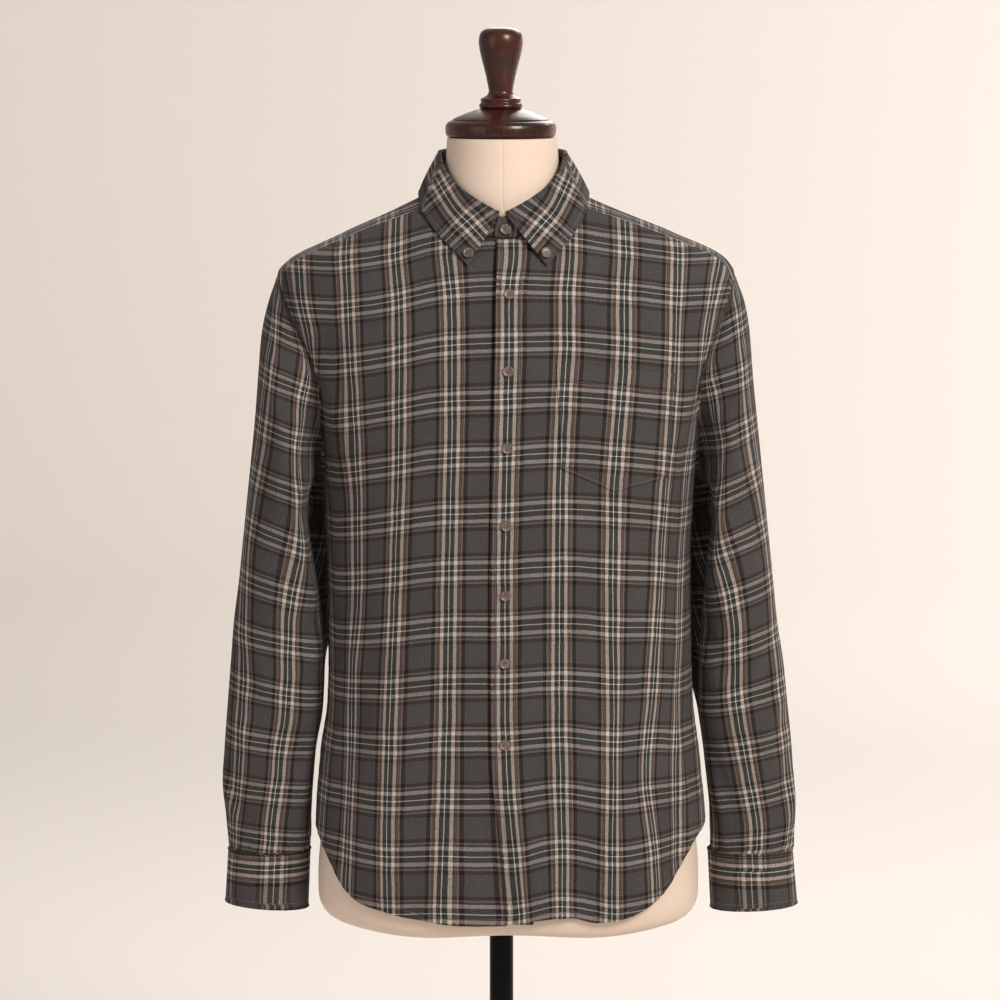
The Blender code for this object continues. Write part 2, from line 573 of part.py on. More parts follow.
def turned(name, profile, finish, segments):
    """A round solid about the pole's axis, from its profile of radius and height."""
    mesh = bpy.data.meshes.new(name)
    outline = [(radius, 0.0, height) for radius, height in reversed(profile)]
    mesh.from_pydata(outline, [(i, i + 1) for i in range(len(outline) - 1)], [])
    piece = add_object(name, mesh, finish)
    spin = piece.modifiers.new("turn", "SCREW")
    spin.steps = segments
    spin.render_steps = segments
    spin.use_merge_vertices = True
    spin.merge_threshold = 0.00005
    return piece


# ---------------------------------------------------------------- body panels
def hem_height(turn, where):
    power = SHIRT_SKIN["power"](0.56)
    side, ahead = np.abs(np.sin(turn)), np.abs(np.cos(turn))
    share = side * (side ** power + ahead ** power) ** (-1.0 / power)
    return HEM_LINE[where](share)


def lap_line(share):
    """The centre lap from hem to neckline: share 0 is the left front's free edge and 1 the far
    side of the placket.  Every layer of the lap uses these points."""
    low, high = float(HEM_LINE["front_left"](0.0)), 1.2505
    for _ in range(3):
        x = float(EDGE_LINE["edge"](high) + share * EDGE_LINE["width"](high))
        high = float(neckline(np.arcsin((x - NECK_SHIFT) / NECK_HALF))[2])
    z = np.concatenate([np.linspace(low, CHEST, SIDE_STEPS + 1)[:-1],
                        np.linspace(CHEST, high, ARM_STEPS[0] + 1)])
    return np.stack([turn_at(EDGE_LINE["edge"](z) + share * EDGE_LINE["width"](z), z), z], -1)


def left_front_out(turn, z):
    """The left front is moved out over the underlap and comes back to the skin past it."""
    past = section_point(SHIRT_SKIN, turn, z)[..., 0] - EDGE_LINE["edge"](z) - EDGE_LINE["width"](z)
    return LAP * (1.0 - smooth_step(0.003, 0.022, past))


def front_grid(side):
    """Turn and height over one front, from its centre edge to the side seam and armhole."""
    gap = 0.5 * SEAM_GAP * side
    where = "front_left" if side > 0 else "front_right"
    start = lap_line(1.0 if side > 0 else 0.0)
    arm = np.stack(armhole(side, armhole_stops(side)[0]), -1)
    hem_end = float(hem_height(math.pi / 2, where))
    seam_z = np.linspace(hem_end, ARMHOLE_HEIGHT[0], SIDE_STEPS + 1)[:-1]
    raw_end = np.concatenate([np.stack([np.full(seam_z.shape, side * math.pi / 2), seam_z], -1), arm])
    end = shifted(raw_end, gap)
    hem_turns = np.linspace(start[0, 0], end[0, 0], NECK_STEPS[0] + SEAM_STEPS + 1)
    bottom = np.stack([hem_turns, hem_height(hem_turns, where)], -1)
    start_x = section_point(SHIRT_SKIN, *start[-1])[0]
    from_centre = math.asin((start_x - NECK_SHIFT) / NECK_HALF)
    neck = neck_edge(np.linspace(from_centre, side * math.radians(YOKE_CORNER), NECK_STEPS[0] + 1))
    raw_seam = front_seam(side)
    seam = shifted(raw_seam, -gap)
    top = np.concatenate([neck[:-1], seam])
    top[-1] = seam[-1] + end[-1] - raw_seam[-1]
    top[0] = start[-1]
    start[0, 1], end[0] = bottom[0, 1], bottom[-1]
    end[-1] = top[-1]
    return body_patch(bottom, top, start, end)


def make_fronts(finish):
    lap_steps = ((0.0, 0.5), (0.97, 0.5))
    for name, side, steps in (("front_left", 1, lap_steps[0]), ("front_right", -1, lap_steps[1])):
        turn, z = front_grid(side)
        strip = np.stack([lap_line(share) for share in steps], 1)
        turn = np.concatenate([strip[..., 0], turn], axis=1)
        z = np.concatenate([strip[..., 1], z], axis=1)
        out = left_front_out(turn, z) if side > 0 else 0.0
        wall(name, body_point(turn, z, out), CLOTH, finish, flip=side < 0)


def make_back(finish):
    gap = 0.5 * SEAM_GAP
    edges = []
    for side in (1, -1):
        arm = np.stack(armhole(side, armhole_stops(side)[2][::-1]), -1)
        arm[:, 0] += 2 * math.pi if side < 0 else 0.0
        foot = math.pi / 2 if side > 0 else 1.5 * math.pi
        arm[0, 0] = foot
        seam_z = np.linspace(float(hem_height(foot, "back")), ARMHOLE_HEIGHT[0], SIDE_STEPS + 1)[:-1]
        line = np.concatenate([np.stack([np.full(seam_z.shape, foot), seam_z], -1), arm])
        edges.append((line, shifted(line, -gap * side)))
    seam = back_seam()[::-1]
    seam[:, 0] %= 2 * math.pi
    top = shifted(seam, -gap)
    (raw_start, start), (raw_end, end) = edges
    top[0] += start[-1] - raw_start[-1]
    top[-1] += end[-1] - raw_end[-1]
    hem_turns = np.linspace(start[0, 0], end[0, 0], len(top))
    bottom = np.stack([hem_turns, hem_height(hem_turns, "back")], -1)
    start[0], end[0], start[-1], end[-1] = bottom[0], bottom[-1], top[0], top[-1]
    turn, z = body_patch(bottom, top, start, end)
    wall("back", body_point(turn, z), CLOTH, finish)


def on_shoulder(line):
    """Skin points as spread along the shoulder axis and lean round it."""
    axis, near, widen = SHOULDER_WRAP
    x, y, z = section_point(SHIRT_SKIN, line[:, 0], line[:, 1]).T
    return np.stack([x / (near + widen * np.hypot(y, z - axis)), np.arctan2(y, z - axis)], -1)


def make_yoke(finish):
    gap = 0.5 * SEAM_GAP
    raw_seams = [front_seam(side) for side in (-1, 1)]
    seams = [shifted(raw_seams[0][::-1], gap), shifted(raw_seams[1], gap)]
    corner = math.radians(YOKE_CORNER)
    neck = neck_edge(np.linspace(2 * math.pi - corner, corner, NECK_STEPS[1] + 1))[1:-1]
    near = np.concatenate([seams[0], neck, seams[1]])
    far = shifted(back_seam(), -gap)
    ends = []
    for side in (-1, 1):
        raw = np.stack(armhole(side, armhole_stops(side)[1]), -1)
        moved = shifted(raw, gap * side)
        spot = 0 if side < 0 else -1
        near[spot] += moved[0] - raw[0]
        far[spot] += moved[-1] - raw[-1]
        moved[0], moved[-1] = near[spot], far[spot]
        ends.append(moved)
    spread, lean = patch(on_shoulder(near), on_shoulder(far), on_shoulder(ends[0]),
                         on_shoulder(ends[1]))
    turn, z = wrap_point(spread, lean)
    wall("yoke", body_point(turn, z), CLOTH, finish, flip=True)


# ---------------------------------------------------------------- what lies on the fronts
def make_placket(finish):
    strip = np.stack([lap_line(share) for share in (0.0, 0.5, 1.0)], 1)
    turn, z = strip[..., 0], strip[..., 1]
    wall("placket", body_point(turn, z, left_front_out(turn, z) + LAP), CLOTH, finish)


def make_pocket(finish):
    across = np.linspace(0.0, 1.0, 11)[None, :]
    up = np.linspace(0.0, 1.0, 9)[:, None]
    foot_x = POCKET_FOOT[0][0] + (POCKET_FOOT[1][0] - POCKET_FOOT[0][0]) * across
    foot_z = POCKET_FOOT[0][1] + (POCKET_FOOT[1][1] - POCKET_FOOT[0][1]) * across
    drop = (POCKET_FOOT[0][1] + POCKET_FOOT[1][1]) / 2 - POCKET_POINT[1]
    foot_z = foot_z - drop * (1 - np.abs(2 * across - 1))
    top_x = POCKET_TOP[0][0] + (POCKET_TOP[1][0] - POCKET_TOP[0][0]) * across
    top_z = POCKET_TOP[0][1] + (POCKET_TOP[1][1] - POCKET_TOP[0][1]) * across
    x = foot_x + (top_x - foot_x) * up
    z = foot_z + (top_z - foot_z) * up
    turn = turn_at(x, z)
    wall("pocket", body_point(turn, z, left_front_out(turn, z) + LAP + 0.0001), CLOTH, finish)


# ---------------------------------------------------------------- sleeves and cuffs
def sleeve_rings(side):
    """Rings of the sleeve's outer face, from the armhole seam to the cuff seam."""
    table = RIGHT_SLEEVE if side < 0 else LEFT_SLEEVE
    front, over, rear = armhole_stops(side)
    around = np.concatenate([front, over[1:], rear[1:-1]])
    loop = np.concatenate([around[-1:] + 2 * math.pi, around, around[:1] - 2 * math.pi])
    line = np.stack(armhole(side, loop), -1)
    seam = section_point(SHIRT_SKIN, *shifted(line, -0.5 * SEAM_GAP * side)[1:-1].T)
    seam = seam + fold_height(*line[1:-1].T)[:, None] * skin_normal(SHIRT_SKIN, *line[1:-1].T)
    rings = [seam]
    for x_out, z_out, x_in, z_in, y_front, y_back, power in table:
        up, ahead = np.cos(around), np.sin(around)
        power = power + 1.4 * smooth_step(0.84, 0.92, z_in) * (up < 0) * (ahead > 0)
        reach = (np.abs(up) ** power + np.abs(ahead) ** power) ** (-1.0 / power)
        x = side * ((x_out + x_in) / 2 + (x_out - x_in) / 2 * up * reach)
        z = (z_out + z_in) / 2 + (z_out - z_in) / 2 * up * reach
        y = np.where(ahead > 0, y_front, -y_back) * ahead * reach
        tuck = 2.0 * np.maximum(-up, 0.0) * np.maximum(-ahead, 0.0)
        low = 0.79 if side < 0 else 0.735
        x = x - side * SLEEVE_TUCK * tuck * smooth_step(low, low + 0.07, z) * smooth_step(-1.04, -1.00, -z)
        rings.append(np.stack([x, y, z], -1))
    first = seam + (rings[1] - seam) * np.array([0.35, 0.70, 0.35])
    first[:, 1] += SLEEVE_VALLEY * np.exp(-((np.degrees(around) - 136.0) / 30.0) ** 2)
    return np.array([seam, first] + rings[1:])


def clear_of_body(points, side):
    """Moves sleeve points out sideways until they clear the body."""
    x, y, z = points[..., 0], points[..., 1], points[..., 2]
    power = SHIRT_SKIN["power"](z)
    depth = np.where(y < 0, SHIRT_SKIN["front"](z), SHIRT_SKIN["back"](z))
    share = np.maximum(1.0 - (np.abs(y) / depth) ** power, 0.0) ** (1.0 / power)
    body = SHIRT_SKIN["half"](z) * share + side * SHIRT_SKIN["shift"](z) + SLEEVE_CLEAR
    away = side * x
    soft = 0.003
    pushed = body + soft * np.logaddexp(0.0, (away - body) / soft)
    moved = np.array(points)
    moved[..., 0] = side * (away + (pushed - away) * (1.0 - smooth_step(1.010, 1.045, z)))
    return moved


def make_sleeve(side, finish):
    rings = sleeve_rings(side)
    rings[1:] = clear_of_body(rings[1:], side)
    name = "sleeve_right" if side < 0 else "sleeve_left"
    return wall(name, rings, CLOTH, finish, ring=True, flip=side > 0)


def make_cuff(side, finish):
    """A band wound once round the wrist with its ends lapped at the back."""
    top, foot = RIGHT_CUFF if side < 0 else LEFT_CUFF
    start = math.radians(-90.0)
    turns = np.linspace(start, start + 2 * math.pi + math.radians(CUFF_LAP), 25)
    lap = (DOUBLE_CLOTH + 0.0004) * smooth_step(2 * math.pi - 0.9, 2 * math.pi - 0.15, turns - start)
    rows = []
    for share in np.linspace(0.0, 1.0, 3):
        x_out, x_in, depth, z_out, z_in, dip = [a + (b - a) * share for a, b in zip(top, foot)]
        x_out, x_in, depth = x_out + 0.0008, x_in - 0.0008, depth + 0.0008
        x = side * ((x_out + x_in) / 2 + ((x_out - x_in) / 2 + lap) * np.cos(turns))
        y = -(depth + lap) * np.sin(turns)
        z = (z_out + z_in) / 2 + (z_out - z_in) / 2 * np.cos(turns) - dip * np.sin(turns)
        rows.append(np.stack([x, y, z], -1))
    name = "cuff_right" if side < 0 else "cuff_left"
    wall(name, np.array(rows), DOUBLE_CLOTH, finish, flip=side < 0)
    bpy.context.view_layer.update()
    x, z = (float(rows[1][-3][0]), float(rows[1][-3][2]))
    place_button(name + "_button", name, (x, 0.2, z), (0.0, -1.0, 0.0))


# ---------------------------------------------------------------- collar
def stand_ring(turn, share):
    """Outer face of the stand: turn round the neck, share 0 at the neckline and 1 at its top."""
    folded = np.abs((np.degrees(turn) + 180.0) % 360.0 - 180.0)
    near = (np.degrees(turn) + 180.0) % 360.0 - 180.0
    base_x, base_y, base_z = neckline(turn)
    over_placket = smooth_step(-22.0, -10.0, near) * (1.0 - smooth_step(24.0, 38.0, near))
    base_z = base_z + 0.0014 + 0.0024 * over_placket
    half, long_way = COLLAR_LINE["stand_half"](folded), COLLAR_LINE["stand_front"](folded)
    top_x = NECK_SHIFT - 0.0012 + half * np.sin(turn)
    top_y = -long_way * np.cos(turn)
    top_z = COLLAR_LINE["crest"](folded) - LEAF_RISE
    base = np.stack([base_x, base_y, base_z], -1)
    top = np.stack([top_x, top_y, top_z], -1)
    return base + (top - base) * share


def plan_out(turn):
    """Unit vector out from the neck in plan."""
    way = np.stack([np.sin(turn) / NECK_HALF, -np.cos(turn) / 0.066, 0.0 * turn], -1)
    return way / np.linalg.norm(way, axis=-1, keepdims=True)


def make_stand(finish):
    lap = math.radians(STAND_LAP)
    turns = np.linspace(lap, -2 * math.pi - lap, 33)
    over = (DOUBLE_CLOTH + 0.0009) * smooth_step(-2 * math.pi + 1.0, -2 * math.pi + 0.25, turns)
    rows = []
    for share in np.linspace(0.0, 1.0, 3):
        ends = 1.0 - 0.62 * share ** 2
        squeezed = np.where(turns > 0, turns * ends,
                            np.where(turns < -2 * math.pi, -2 * math.pi
                                     + (turns + 2 * math.pi) * ends, turns))
        rows.append(stand_ring(squeezed, share) + over[:, None] * plan_out(squeezed))
    wall("collar_stand", np.array(rows), DOUBLE_CLOTH, finish, flip=True)
    bpy.context.view_layer.update()
    place_button("button_stand", "collar_stand", (STAND_BUTTON[0], -0.3, STAND_BUTTON[1]),
                 (0.0, 1.0, 0.0))


def leaf_grid(stations, drops):
    """Rows run round the neck; columns go up from the stand, over the fold and down."""
    side_edge = tracks(LEAF_EDGE_COLUMNS, LEAF_EDGE)
    back_edge = tracks(LEAF_EDGE_BACK_COLUMNS, LEAF_EDGE_BACK)
    split = (LEAF_EDGE[-1][0] + LEAF_EDGE_BACK[0][0]) / 2
    start = math.radians(3.4)
    rows = []
    for station in stations:
        side = -1.0 if station < 0 else 1.0
        share = 1.0 - abs(station)
        turn = side * (start + (math.pi - start) * share)
        top = stand_ring(np.asarray(turn), 1.0)
        way = plan_out(np.asarray(turn))
        lap = (DOUBLE_CLOTH + 0.0009) * float(smooth_step(1.0, 0.25, turn)) if side > 0 else 0.0
        top = top + lap * way
        fold = [(-DOUBLE_CLOTH, 0.0004), (-DOUBLE_CLOTH, LEAF_RISE - 0.0016),
                (-DOUBLE_CLOTH + 0.0009, LEAF_RISE - 0.0003), (0.0007, LEAF_RISE),
                (0.0022, LEAF_RISE - 0.0007), (0.0030, LEAF_RISE - 0.0026)]
        line = [top + out * way + np.array([0.0, 0.0, up]) for out, up in fold]
        if share < split:
            half, z, off = (float(side_edge[key](share)) for key in ("half", "z", "off"))
            x = (0.0062 - 0.0040 * share / split) + side * half
            edge = body_point(turn_at(x, z), np.asarray(z), off)
        else:
            turn_edge, z, off = (float(back_edge[key](share)) for key in ("turn", "z", "off"))
            edge = body_point(side * math.radians(turn_edge), np.asarray(z), off)
        for drop in drops:
            bulge = 0.0010 * math.sin(math.pi * drop)
            line.append(line[5] + (edge - line[5]) * drop + bulge * way)
        rows.append(line)
    return np.array(rows)


def make_leaf(finish):
    stations = np.linspace(-1.0, 1.0, 33)
    stations = np.sign(stations) * np.abs(stations) ** 0.85
    wall("collar_leaf", leaf_grid(stations, (0.3, 0.65, 1.0)), 0.0013, finish)


# ---------------------------------------------------------------- buttons
def add_button(name, seat, facing):
    """A four-hole shirt button's blank: a disc with a raised rim, its back on the seat."""
    shape = bmesh.new()
    made = bmesh.ops.create_cone(shape, cap_ends=True, segments=12, radius1=BUTTON_RADIUS,
                                 radius2=BUTTON_RADIUS * 0.94, depth=BUTTON_THICK)
    bmesh.ops.translate(shape, vec=(0.0, 0.0, BUTTON_THICK / 2), verts=made["verts"])
    shape.faces.ensure_lookup_table()
    face = max(shape.faces, key=lambda f: f.calc_center_median().z)
    bmesh.ops.inset_region(shape, faces=[face], thickness=BUTTON_RADIUS * 0.28,
                           depth=-BUTTON_THICK * 0.25)
    mesh = bpy.data.meshes.new(name)
    shape.to_mesh(mesh)
    shape.free()
    button = add_object(name, mesh, FINISHES["button"])
    button.matrix_world = (Matrix.Translation(seat)
                           @ facing.to_track_quat("Z", "Y").to_matrix().to_4x4())
    return button


def place_button(name, piece, start, way):
    """Seats a button on the face of a piece that a straight line meets first."""
    _, spot, facing, _ = bpy.data.objects[piece].ray_cast(Vector(start), Vector(way))
    add_button(name, spot + facing * 0.0006, facing)


def make_front_buttons():
    for count, (x, z) in enumerate(BUTTONS, start=1):
        place_button(f"button_{count}", "placket", (x, -0.4, z), (0.0, 1.0, 0.0))
    for name, side in (("collar_button_right", -1), ("collar_button_left", 1)):
        half, z = COLLAR_BUTTON
        place_button(name, "collar_leaf", (0.0060 + side * half, -0.4, z), (0.0, 1.0, 0.0))


# ---------------------------------------------------------------- dress form and stand
def ring_solid(name, rings, finish):
    """A closed solid through level rings, with flat ends."""
    mesh = grid_mesh(name, rings, ring=True)
    shape = bmesh.new()
    shape.from_mesh(mesh)
    shape.verts.ensure_lookup_table()
    count = rings.shape[1]
    shape.faces.new(shape.verts[:count][::-1])
    shape.faces.new(shape.verts[-count:])
    shape.to_mesh(mesh)
    shape.free()
    return add_object(name, mesh, finish)


def oval(turn, half, depth, power):
    return ((np.abs(np.sin(turn)) / half) ** power + (np.abs(np.cos(turn)) / depth) ** power) ** (
        -1.0 / power)


def form_ring(turn, z):
    """Level ring of the dress form: its own table below the shoulders, then just under the
    shirt's yoke, and the neck's column wherever that reaches further out."""
    under = FORM_SKIN if z <= FORM[-1][0] else SHIRT_SKIN
    level = z if z <= FORM[-1][0] else z + FORM_CLEAR
    depth = np.where(np.cos(turn) > 0, under["front"](level), under["back"](level))
    sunk = FORM_CLEAR + 0.002 * float(smooth_step(1.270, 1.292, z))
    reach = oval(turn, under["half"](level), depth, under["power"](level)) - sunk
    reach = np.where(z > SKIN[-1][0], 0.0, reach)
    column = oval(turn, NECK_LINE["half"](z),
                  np.where(np.cos(turn) > 0, NECK_LINE["front"](z), NECK_LINE["back"](z)), 2.0)
    soft = 0.0012
    reach = np.where(z < 1.22, reach, soft * np.logaddexp(reach / soft, column / soft))
    centre = float(under["shift"](level)) - 0.0016 * float(smooth_step(1.25, 1.30, z))
    x = centre + reach * np.sin(turn)
    drop, middle, width = FORM_LOBES
    lobe = np.exp(-((np.abs(x - 0.0072) - middle) / width) ** 2) * (1 - smooth_step(0.534, 0.585, z))
    lobe = lobe * (z > FORM_LEVELS[0])
    return np.stack([x, -reach * np.cos(turn), z - drop * lobe], -1)


def make_form(finish):
    turn = np.linspace(0.0, 2 * math.pi, 40, endpoint=False)
    rings = np.array([form_ring(turn, z) for z in FORM_LEVELS])
    ring_solid("dress_form", rings, finish)


def make_stand_and_cap():
    turned("neck_cap", NECK_CAP_PROFILE, FINISHES["wood"], 24).location.x = -0.0008
    turned("finial", FINIAL_PROFILE, FINISHES["wood"], 18).location.x = -0.0008
    pole_top = FORM_LEVELS[0] - 0.0003
    pole = ((0.0, BASE_THICK + 0.0003), (POLE_RADIUS, BASE_THICK + 0.0003),
            (POLE_RADIUS, pole_top), (0.0, pole_top))
    turned("pole", pole, FINISHES["steel"], 20)
    turned("stand_base", BASE_PROFILE, FINISHES["steel"], 36)


# ---------------------------------------------------------------- the whole object
for old in list(bpy.data.objects):
    bpy.data.objects.remove(old, do_unlink=True)

PARTS = bpy.data.collections.new("flannel_shirt_on_dress_form")
bpy.context.scene.collection.children.link(PARTS)

FINISHES = {
    "flannel": material("checked_flannel", (0.075, 0.066, 0.062), 0.95),
    "button": material("horn_button", (0.16, 0.09, 0.06), 0.45),
    "linen": material("form_linen", (0.76, 0.66, 0.54), 0.85),
    "wood": material("turned_wood", (0.09, 0.025, 0.012), 0.30),
    "steel": material("black_steel", (0.010, 0.010, 0.011), 0.40, 0.6),
}

make_fronts(FINISHES["flannel"])
make_back(FINISHES["flannel"])
make_yoke(FINISHES["flannel"])
make_placket(FINISHES["flannel"])
make_pocket(FINISHES["flannel"])
for arm in (-1, 1):
    make_sleeve(arm, FINISHES["flannel"])
    make_cuff(arm, FINISHES["flannel"])
make_stand(FINISHES["flannel"])
make_leaf(FINISHES["flannel"])
bpy.context.view_layer.update()
make_front_buttons()
make_form(FINISHES["linen"])
make_stand_and_cap()
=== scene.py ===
"""Checked flannel shirt on a limbless dress form: the dressed and finished model.

Metres, +Z up, the front at -Y and the wearer's right side at -X.  The sections follow the object
as it is put together: room, stand, form, then the shirt from its fronts to its last stitch.
"""
import math

import bpy
import numpy as np
from mathutils import Matrix, Vector


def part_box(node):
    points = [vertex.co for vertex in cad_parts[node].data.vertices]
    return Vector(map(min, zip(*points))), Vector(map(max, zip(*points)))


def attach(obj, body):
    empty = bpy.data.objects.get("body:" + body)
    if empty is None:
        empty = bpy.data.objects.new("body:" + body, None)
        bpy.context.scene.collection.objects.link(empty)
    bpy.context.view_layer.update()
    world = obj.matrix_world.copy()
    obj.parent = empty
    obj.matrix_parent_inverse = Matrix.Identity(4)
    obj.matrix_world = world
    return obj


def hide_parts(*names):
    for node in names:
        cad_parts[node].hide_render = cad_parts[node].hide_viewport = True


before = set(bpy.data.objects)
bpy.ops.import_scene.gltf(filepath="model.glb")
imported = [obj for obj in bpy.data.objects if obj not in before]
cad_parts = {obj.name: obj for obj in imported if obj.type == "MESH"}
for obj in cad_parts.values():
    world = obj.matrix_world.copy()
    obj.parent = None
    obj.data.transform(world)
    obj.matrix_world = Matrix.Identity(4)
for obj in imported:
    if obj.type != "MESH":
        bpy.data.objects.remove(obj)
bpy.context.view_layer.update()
bpy.ops.object.select_all(action="DESELECT")

# ======== room and camera
# A pale studio: the matt painted floor curves up into a low wall all round, so that no edge
# shows.  One large soft light stands high to the right, a weaker one fills from the left, one
# skims the back, and one hangs over the far floor.


def linear(code):
    """A colour given as an sRGB hex value, as linear light."""
    parts = [int(code[i:i + 2], 16) / 255.0 for i in (1, 3, 5)]
    return tuple(p / 12.92 if p <= 0.04045 else ((p + 0.055) / 1.055) ** 2.4
                 for p in parts) + (1.0,)


def feed(tree, node, values):
    """Sets a node's inputs to values, or links them to other nodes' outputs."""
    for key, value in values.items():
        if isinstance(value, bpy.types.NodeSocket):
            tree.links.new(value, node.inputs[key])
        else:
            node.inputs[key].default_value = value


def add_node(tree, kind, settings=None, feeds=None):
    """Adds a node with its settings, its values and its links."""
    made = tree.nodes.new("ShaderNode" + kind)
    for key, value in (settings or {}).items():
        setattr(made, key, value)
    feed(tree, made, feeds or {})
    return made


def dye(ramp, *stops):
    """Gives a colour ramp its stops, each a place and a colour."""
    ramp.elements.remove(ramp.elements[1])
    ramp.elements[0].position, ramp.elements[0].color = stops[0][0], linear(stops[0][1])
    for place, colour in stops[1:]:
        ramp.elements.new(place).color = linear(colour)


def new_finish(name):
    """A fresh material: its tree and its Principled shader."""
    made = bpy.data.materials.new(name)
    made.use_nodes = True
    return made, made.node_tree, made.node_tree.nodes["Principled BSDF"]


VIEW_TILT = math.radians(6.7)
VIEW_RANGE = 4.5
VIEW_AIM = Vector((-0.0016, 0.0, 0.975))
FIELD = 1.05              # width of the view at the object
SENSOR = 36.0             # millimetres

camera_data = bpy.data.cameras.new("camera")
camera_data.sensor_width = SENSOR
camera_data.sensor_fit = "HORIZONTAL"
camera_data.lens = SENSOR * VIEW_RANGE / FIELD
camera = bpy.data.objects.new("camera", camera_data)
bpy.context.scene.collection.objects.link(camera)
camera.location = VIEW_AIM + VIEW_RANGE * Vector((0.0, -math.cos(VIEW_TILT), math.sin(VIEW_TILT)))
camera.rotation_euler = (math.pi / 2 - VIEW_TILT, 0.0, 0.0)
bpy.context.scene.camera = camera
bpy.context.scene.view_settings.view_transform = "Standard"


def soft_light(name, spot, aim, size, power, colour):
    """A round soft box at a spot, turned to its aim."""
    lamp = bpy.data.lights.new(name, "AREA")
    lamp.shape = "DISK"
    lamp.size = size
    lamp.energy = power
    lamp.color = linear(colour)[:3]
    thing = bpy.data.objects.new(name, lamp)
    bpy.context.scene.collection.objects.link(thing)
    thing.location = spot
    thing.rotation_euler = (Vector(aim) - Vector(spot)).to_track_quat("-Z", "Y").to_euler()


soft_light("key_light", (1.8, -2.6, 2.9), (0.0, 0.0, 1.0), 1.3, 128.0, "#fffaf5")
soft_light("fill_light", (-2.4, -2.4, 1.7), (0.0, 0.0, 0.9), 2.4, 15.0, "#f8f6ff")
soft_light("rim_light", (0.4, 2.6, 2.6), (0.0, 0.0, 1.1), 1.6, 30.0, "#fffaf6")
soft_light("far_light", (3.4, 4.6, 4.6), (3.0, 6.6, 0.0), 3.6, 240.0, "#fffaf6")

room = bpy.data.worlds.new("room")
room.use_nodes = True
feed(room.node_tree, room.node_tree.nodes["Background"], {"Color": linear("#fbf7f3"), "Strength": 0.40})
bpy.context.scene.world = room

floor_finish, tree, shader = new_finish("pale_matt_floor_paint")
feed(tree, shader, {"Base Color": linear("#ece5df"), "Roughness": 0.9})


def pick(piece, *others):
    """Selects a piece, and others with it, and makes it the active one."""
    bpy.ops.object.select_all(action="DESELECT")
    for chosen in (piece,) + others:
        chosen.select_set(True)
    bpy.context.view_layer.objects.active = piece


def edit(select="SELECT"):
    """Opens the active piece in edit mode, with all or none of it selected."""
    bpy.ops.object.mode_set(mode="EDIT")
    bpy.ops.mesh.select_all(action=select)


def spun(profile, steps, centre=0.0):
    """A turned solid: its half outline is spun once round the pole's axis in edit mode."""
    bpy.ops.mesh.primitive_plane_add(size=0.001)
    piece = bpy.context.object
    edit()
    bpy.ops.mesh.delete(type="VERT")
    bpy.ops.object.mode_set(mode="OBJECT")
    piece.data.vertices.add(len(profile))
    piece.data.vertices.foreach_set("co", np.array([(centre + r, 0.0, z) for r, z in profile]).ravel())
    piece.data.edges.add(len(profile) - 1)
    piece.data.edges.foreach_set("vertices", np.array(
        [(i, i + 1) for i in range(len(profile) - 1)]).ravel())
    piece.data.update()
    edit()
    bpy.ops.mesh.spin(steps=steps, angle=2 * math.pi, center=(centre, 0.0, 0.0), axis=(0.0, 0.0, 1.0))
    bpy.ops.mesh.select_all(action="SELECT")
    bpy.ops.mesh.remove_doubles(threshold=0.00002)
    bpy.ops.mesh.normals_make_consistent(inside=False)
    bpy.ops.object.mode_set(mode="OBJECT")
    return piece


def rounded(profile, radius, steps=4):
    """Rounds the corners of a half outline with short arcs."""
    line = [profile[0]]
    for before, corner, after in zip(profile, profile[1:], profile[2:]):
        corner, one, two = (np.array(p, float) for p in (corner, before, after))
        reach = min(radius, 0.45 * np.linalg.norm(one - corner), 0.45 * np.linalg.norm(two - corner))
        start = corner + (one - corner) / np.linalg.norm(one - corner) * reach
        end = corner + (two - corner) / np.linalg.norm(two - corner) * reach
        for t in np.linspace(0.0, 1.0, steps):
            line.append(tuple((1 - t) ** 2 * start + 2 * t * (1 - t) * corner + t * t * end))
    line.append(profile[-1])
    return line


FLOOR_RADIUS = 6.5        # flat as far as here
COVE = 2.0                # radius of the curve up into the wall
WALL_HEIGHT = 2.9
curve = [(FLOOR_RADIUS + COVE * math.sin(a), COVE - COVE * math.cos(a))
         for a in np.linspace(0.0, math.pi / 2, 24)]
floor = spun([(0.0, 0.0), (FLOOR_RADIUS / 2, 0.0)] + curve + [(FLOOR_RADIUS + COVE, WALL_HEIGHT)], 96)
floor.name = floor.data.name = "floor_and_wall"
floor.data.materials.append(floor_finish)
bpy.ops.object.shade_smooth()

# ======== pole and base
# The stand is a steel tube welded to a heavy turned plate, both powder coated in satin black.
# The coating rounds the plate's edges and leaves a very fine orange-peel surface.

steel_finish, tree, shader = new_finish("satin_black_powder_coat")
where = add_node(tree, "TexCoord")
peel = add_node(tree, "TexNoise", feeds={      # 1.6 mm lumps of the cured powder
    "Vector": where.outputs["Object"], "Scale": 620.0, "Detail": 2.0})
dust = add_node(tree, "TexNoise", feeds={
    "Vector": where.outputs["Object"], "Scale": 22.0, "Detail": 5.0})
dull = add_node(tree, "MapRange", feeds={
    "Value": dust.outputs["Fac"], "From Min": 0.3, "From Max": 0.7, "To Min": 0.30, "To Max": 0.46})
lumps = add_node(tree, "Bump", feeds={
    "Strength": 0.10, "Distance": 0.0004, "Height": peel.outputs["Fac"]})
feed(tree, shader, {"Base Color": linear("#050505"), "Specular IOR Level": 0.12, "Coat Weight": 0.01,
                    "Coat Roughness": 0.25, "Roughness": dull.outputs["Result"],
                    "Normal": lumps.outputs["Normal"]})


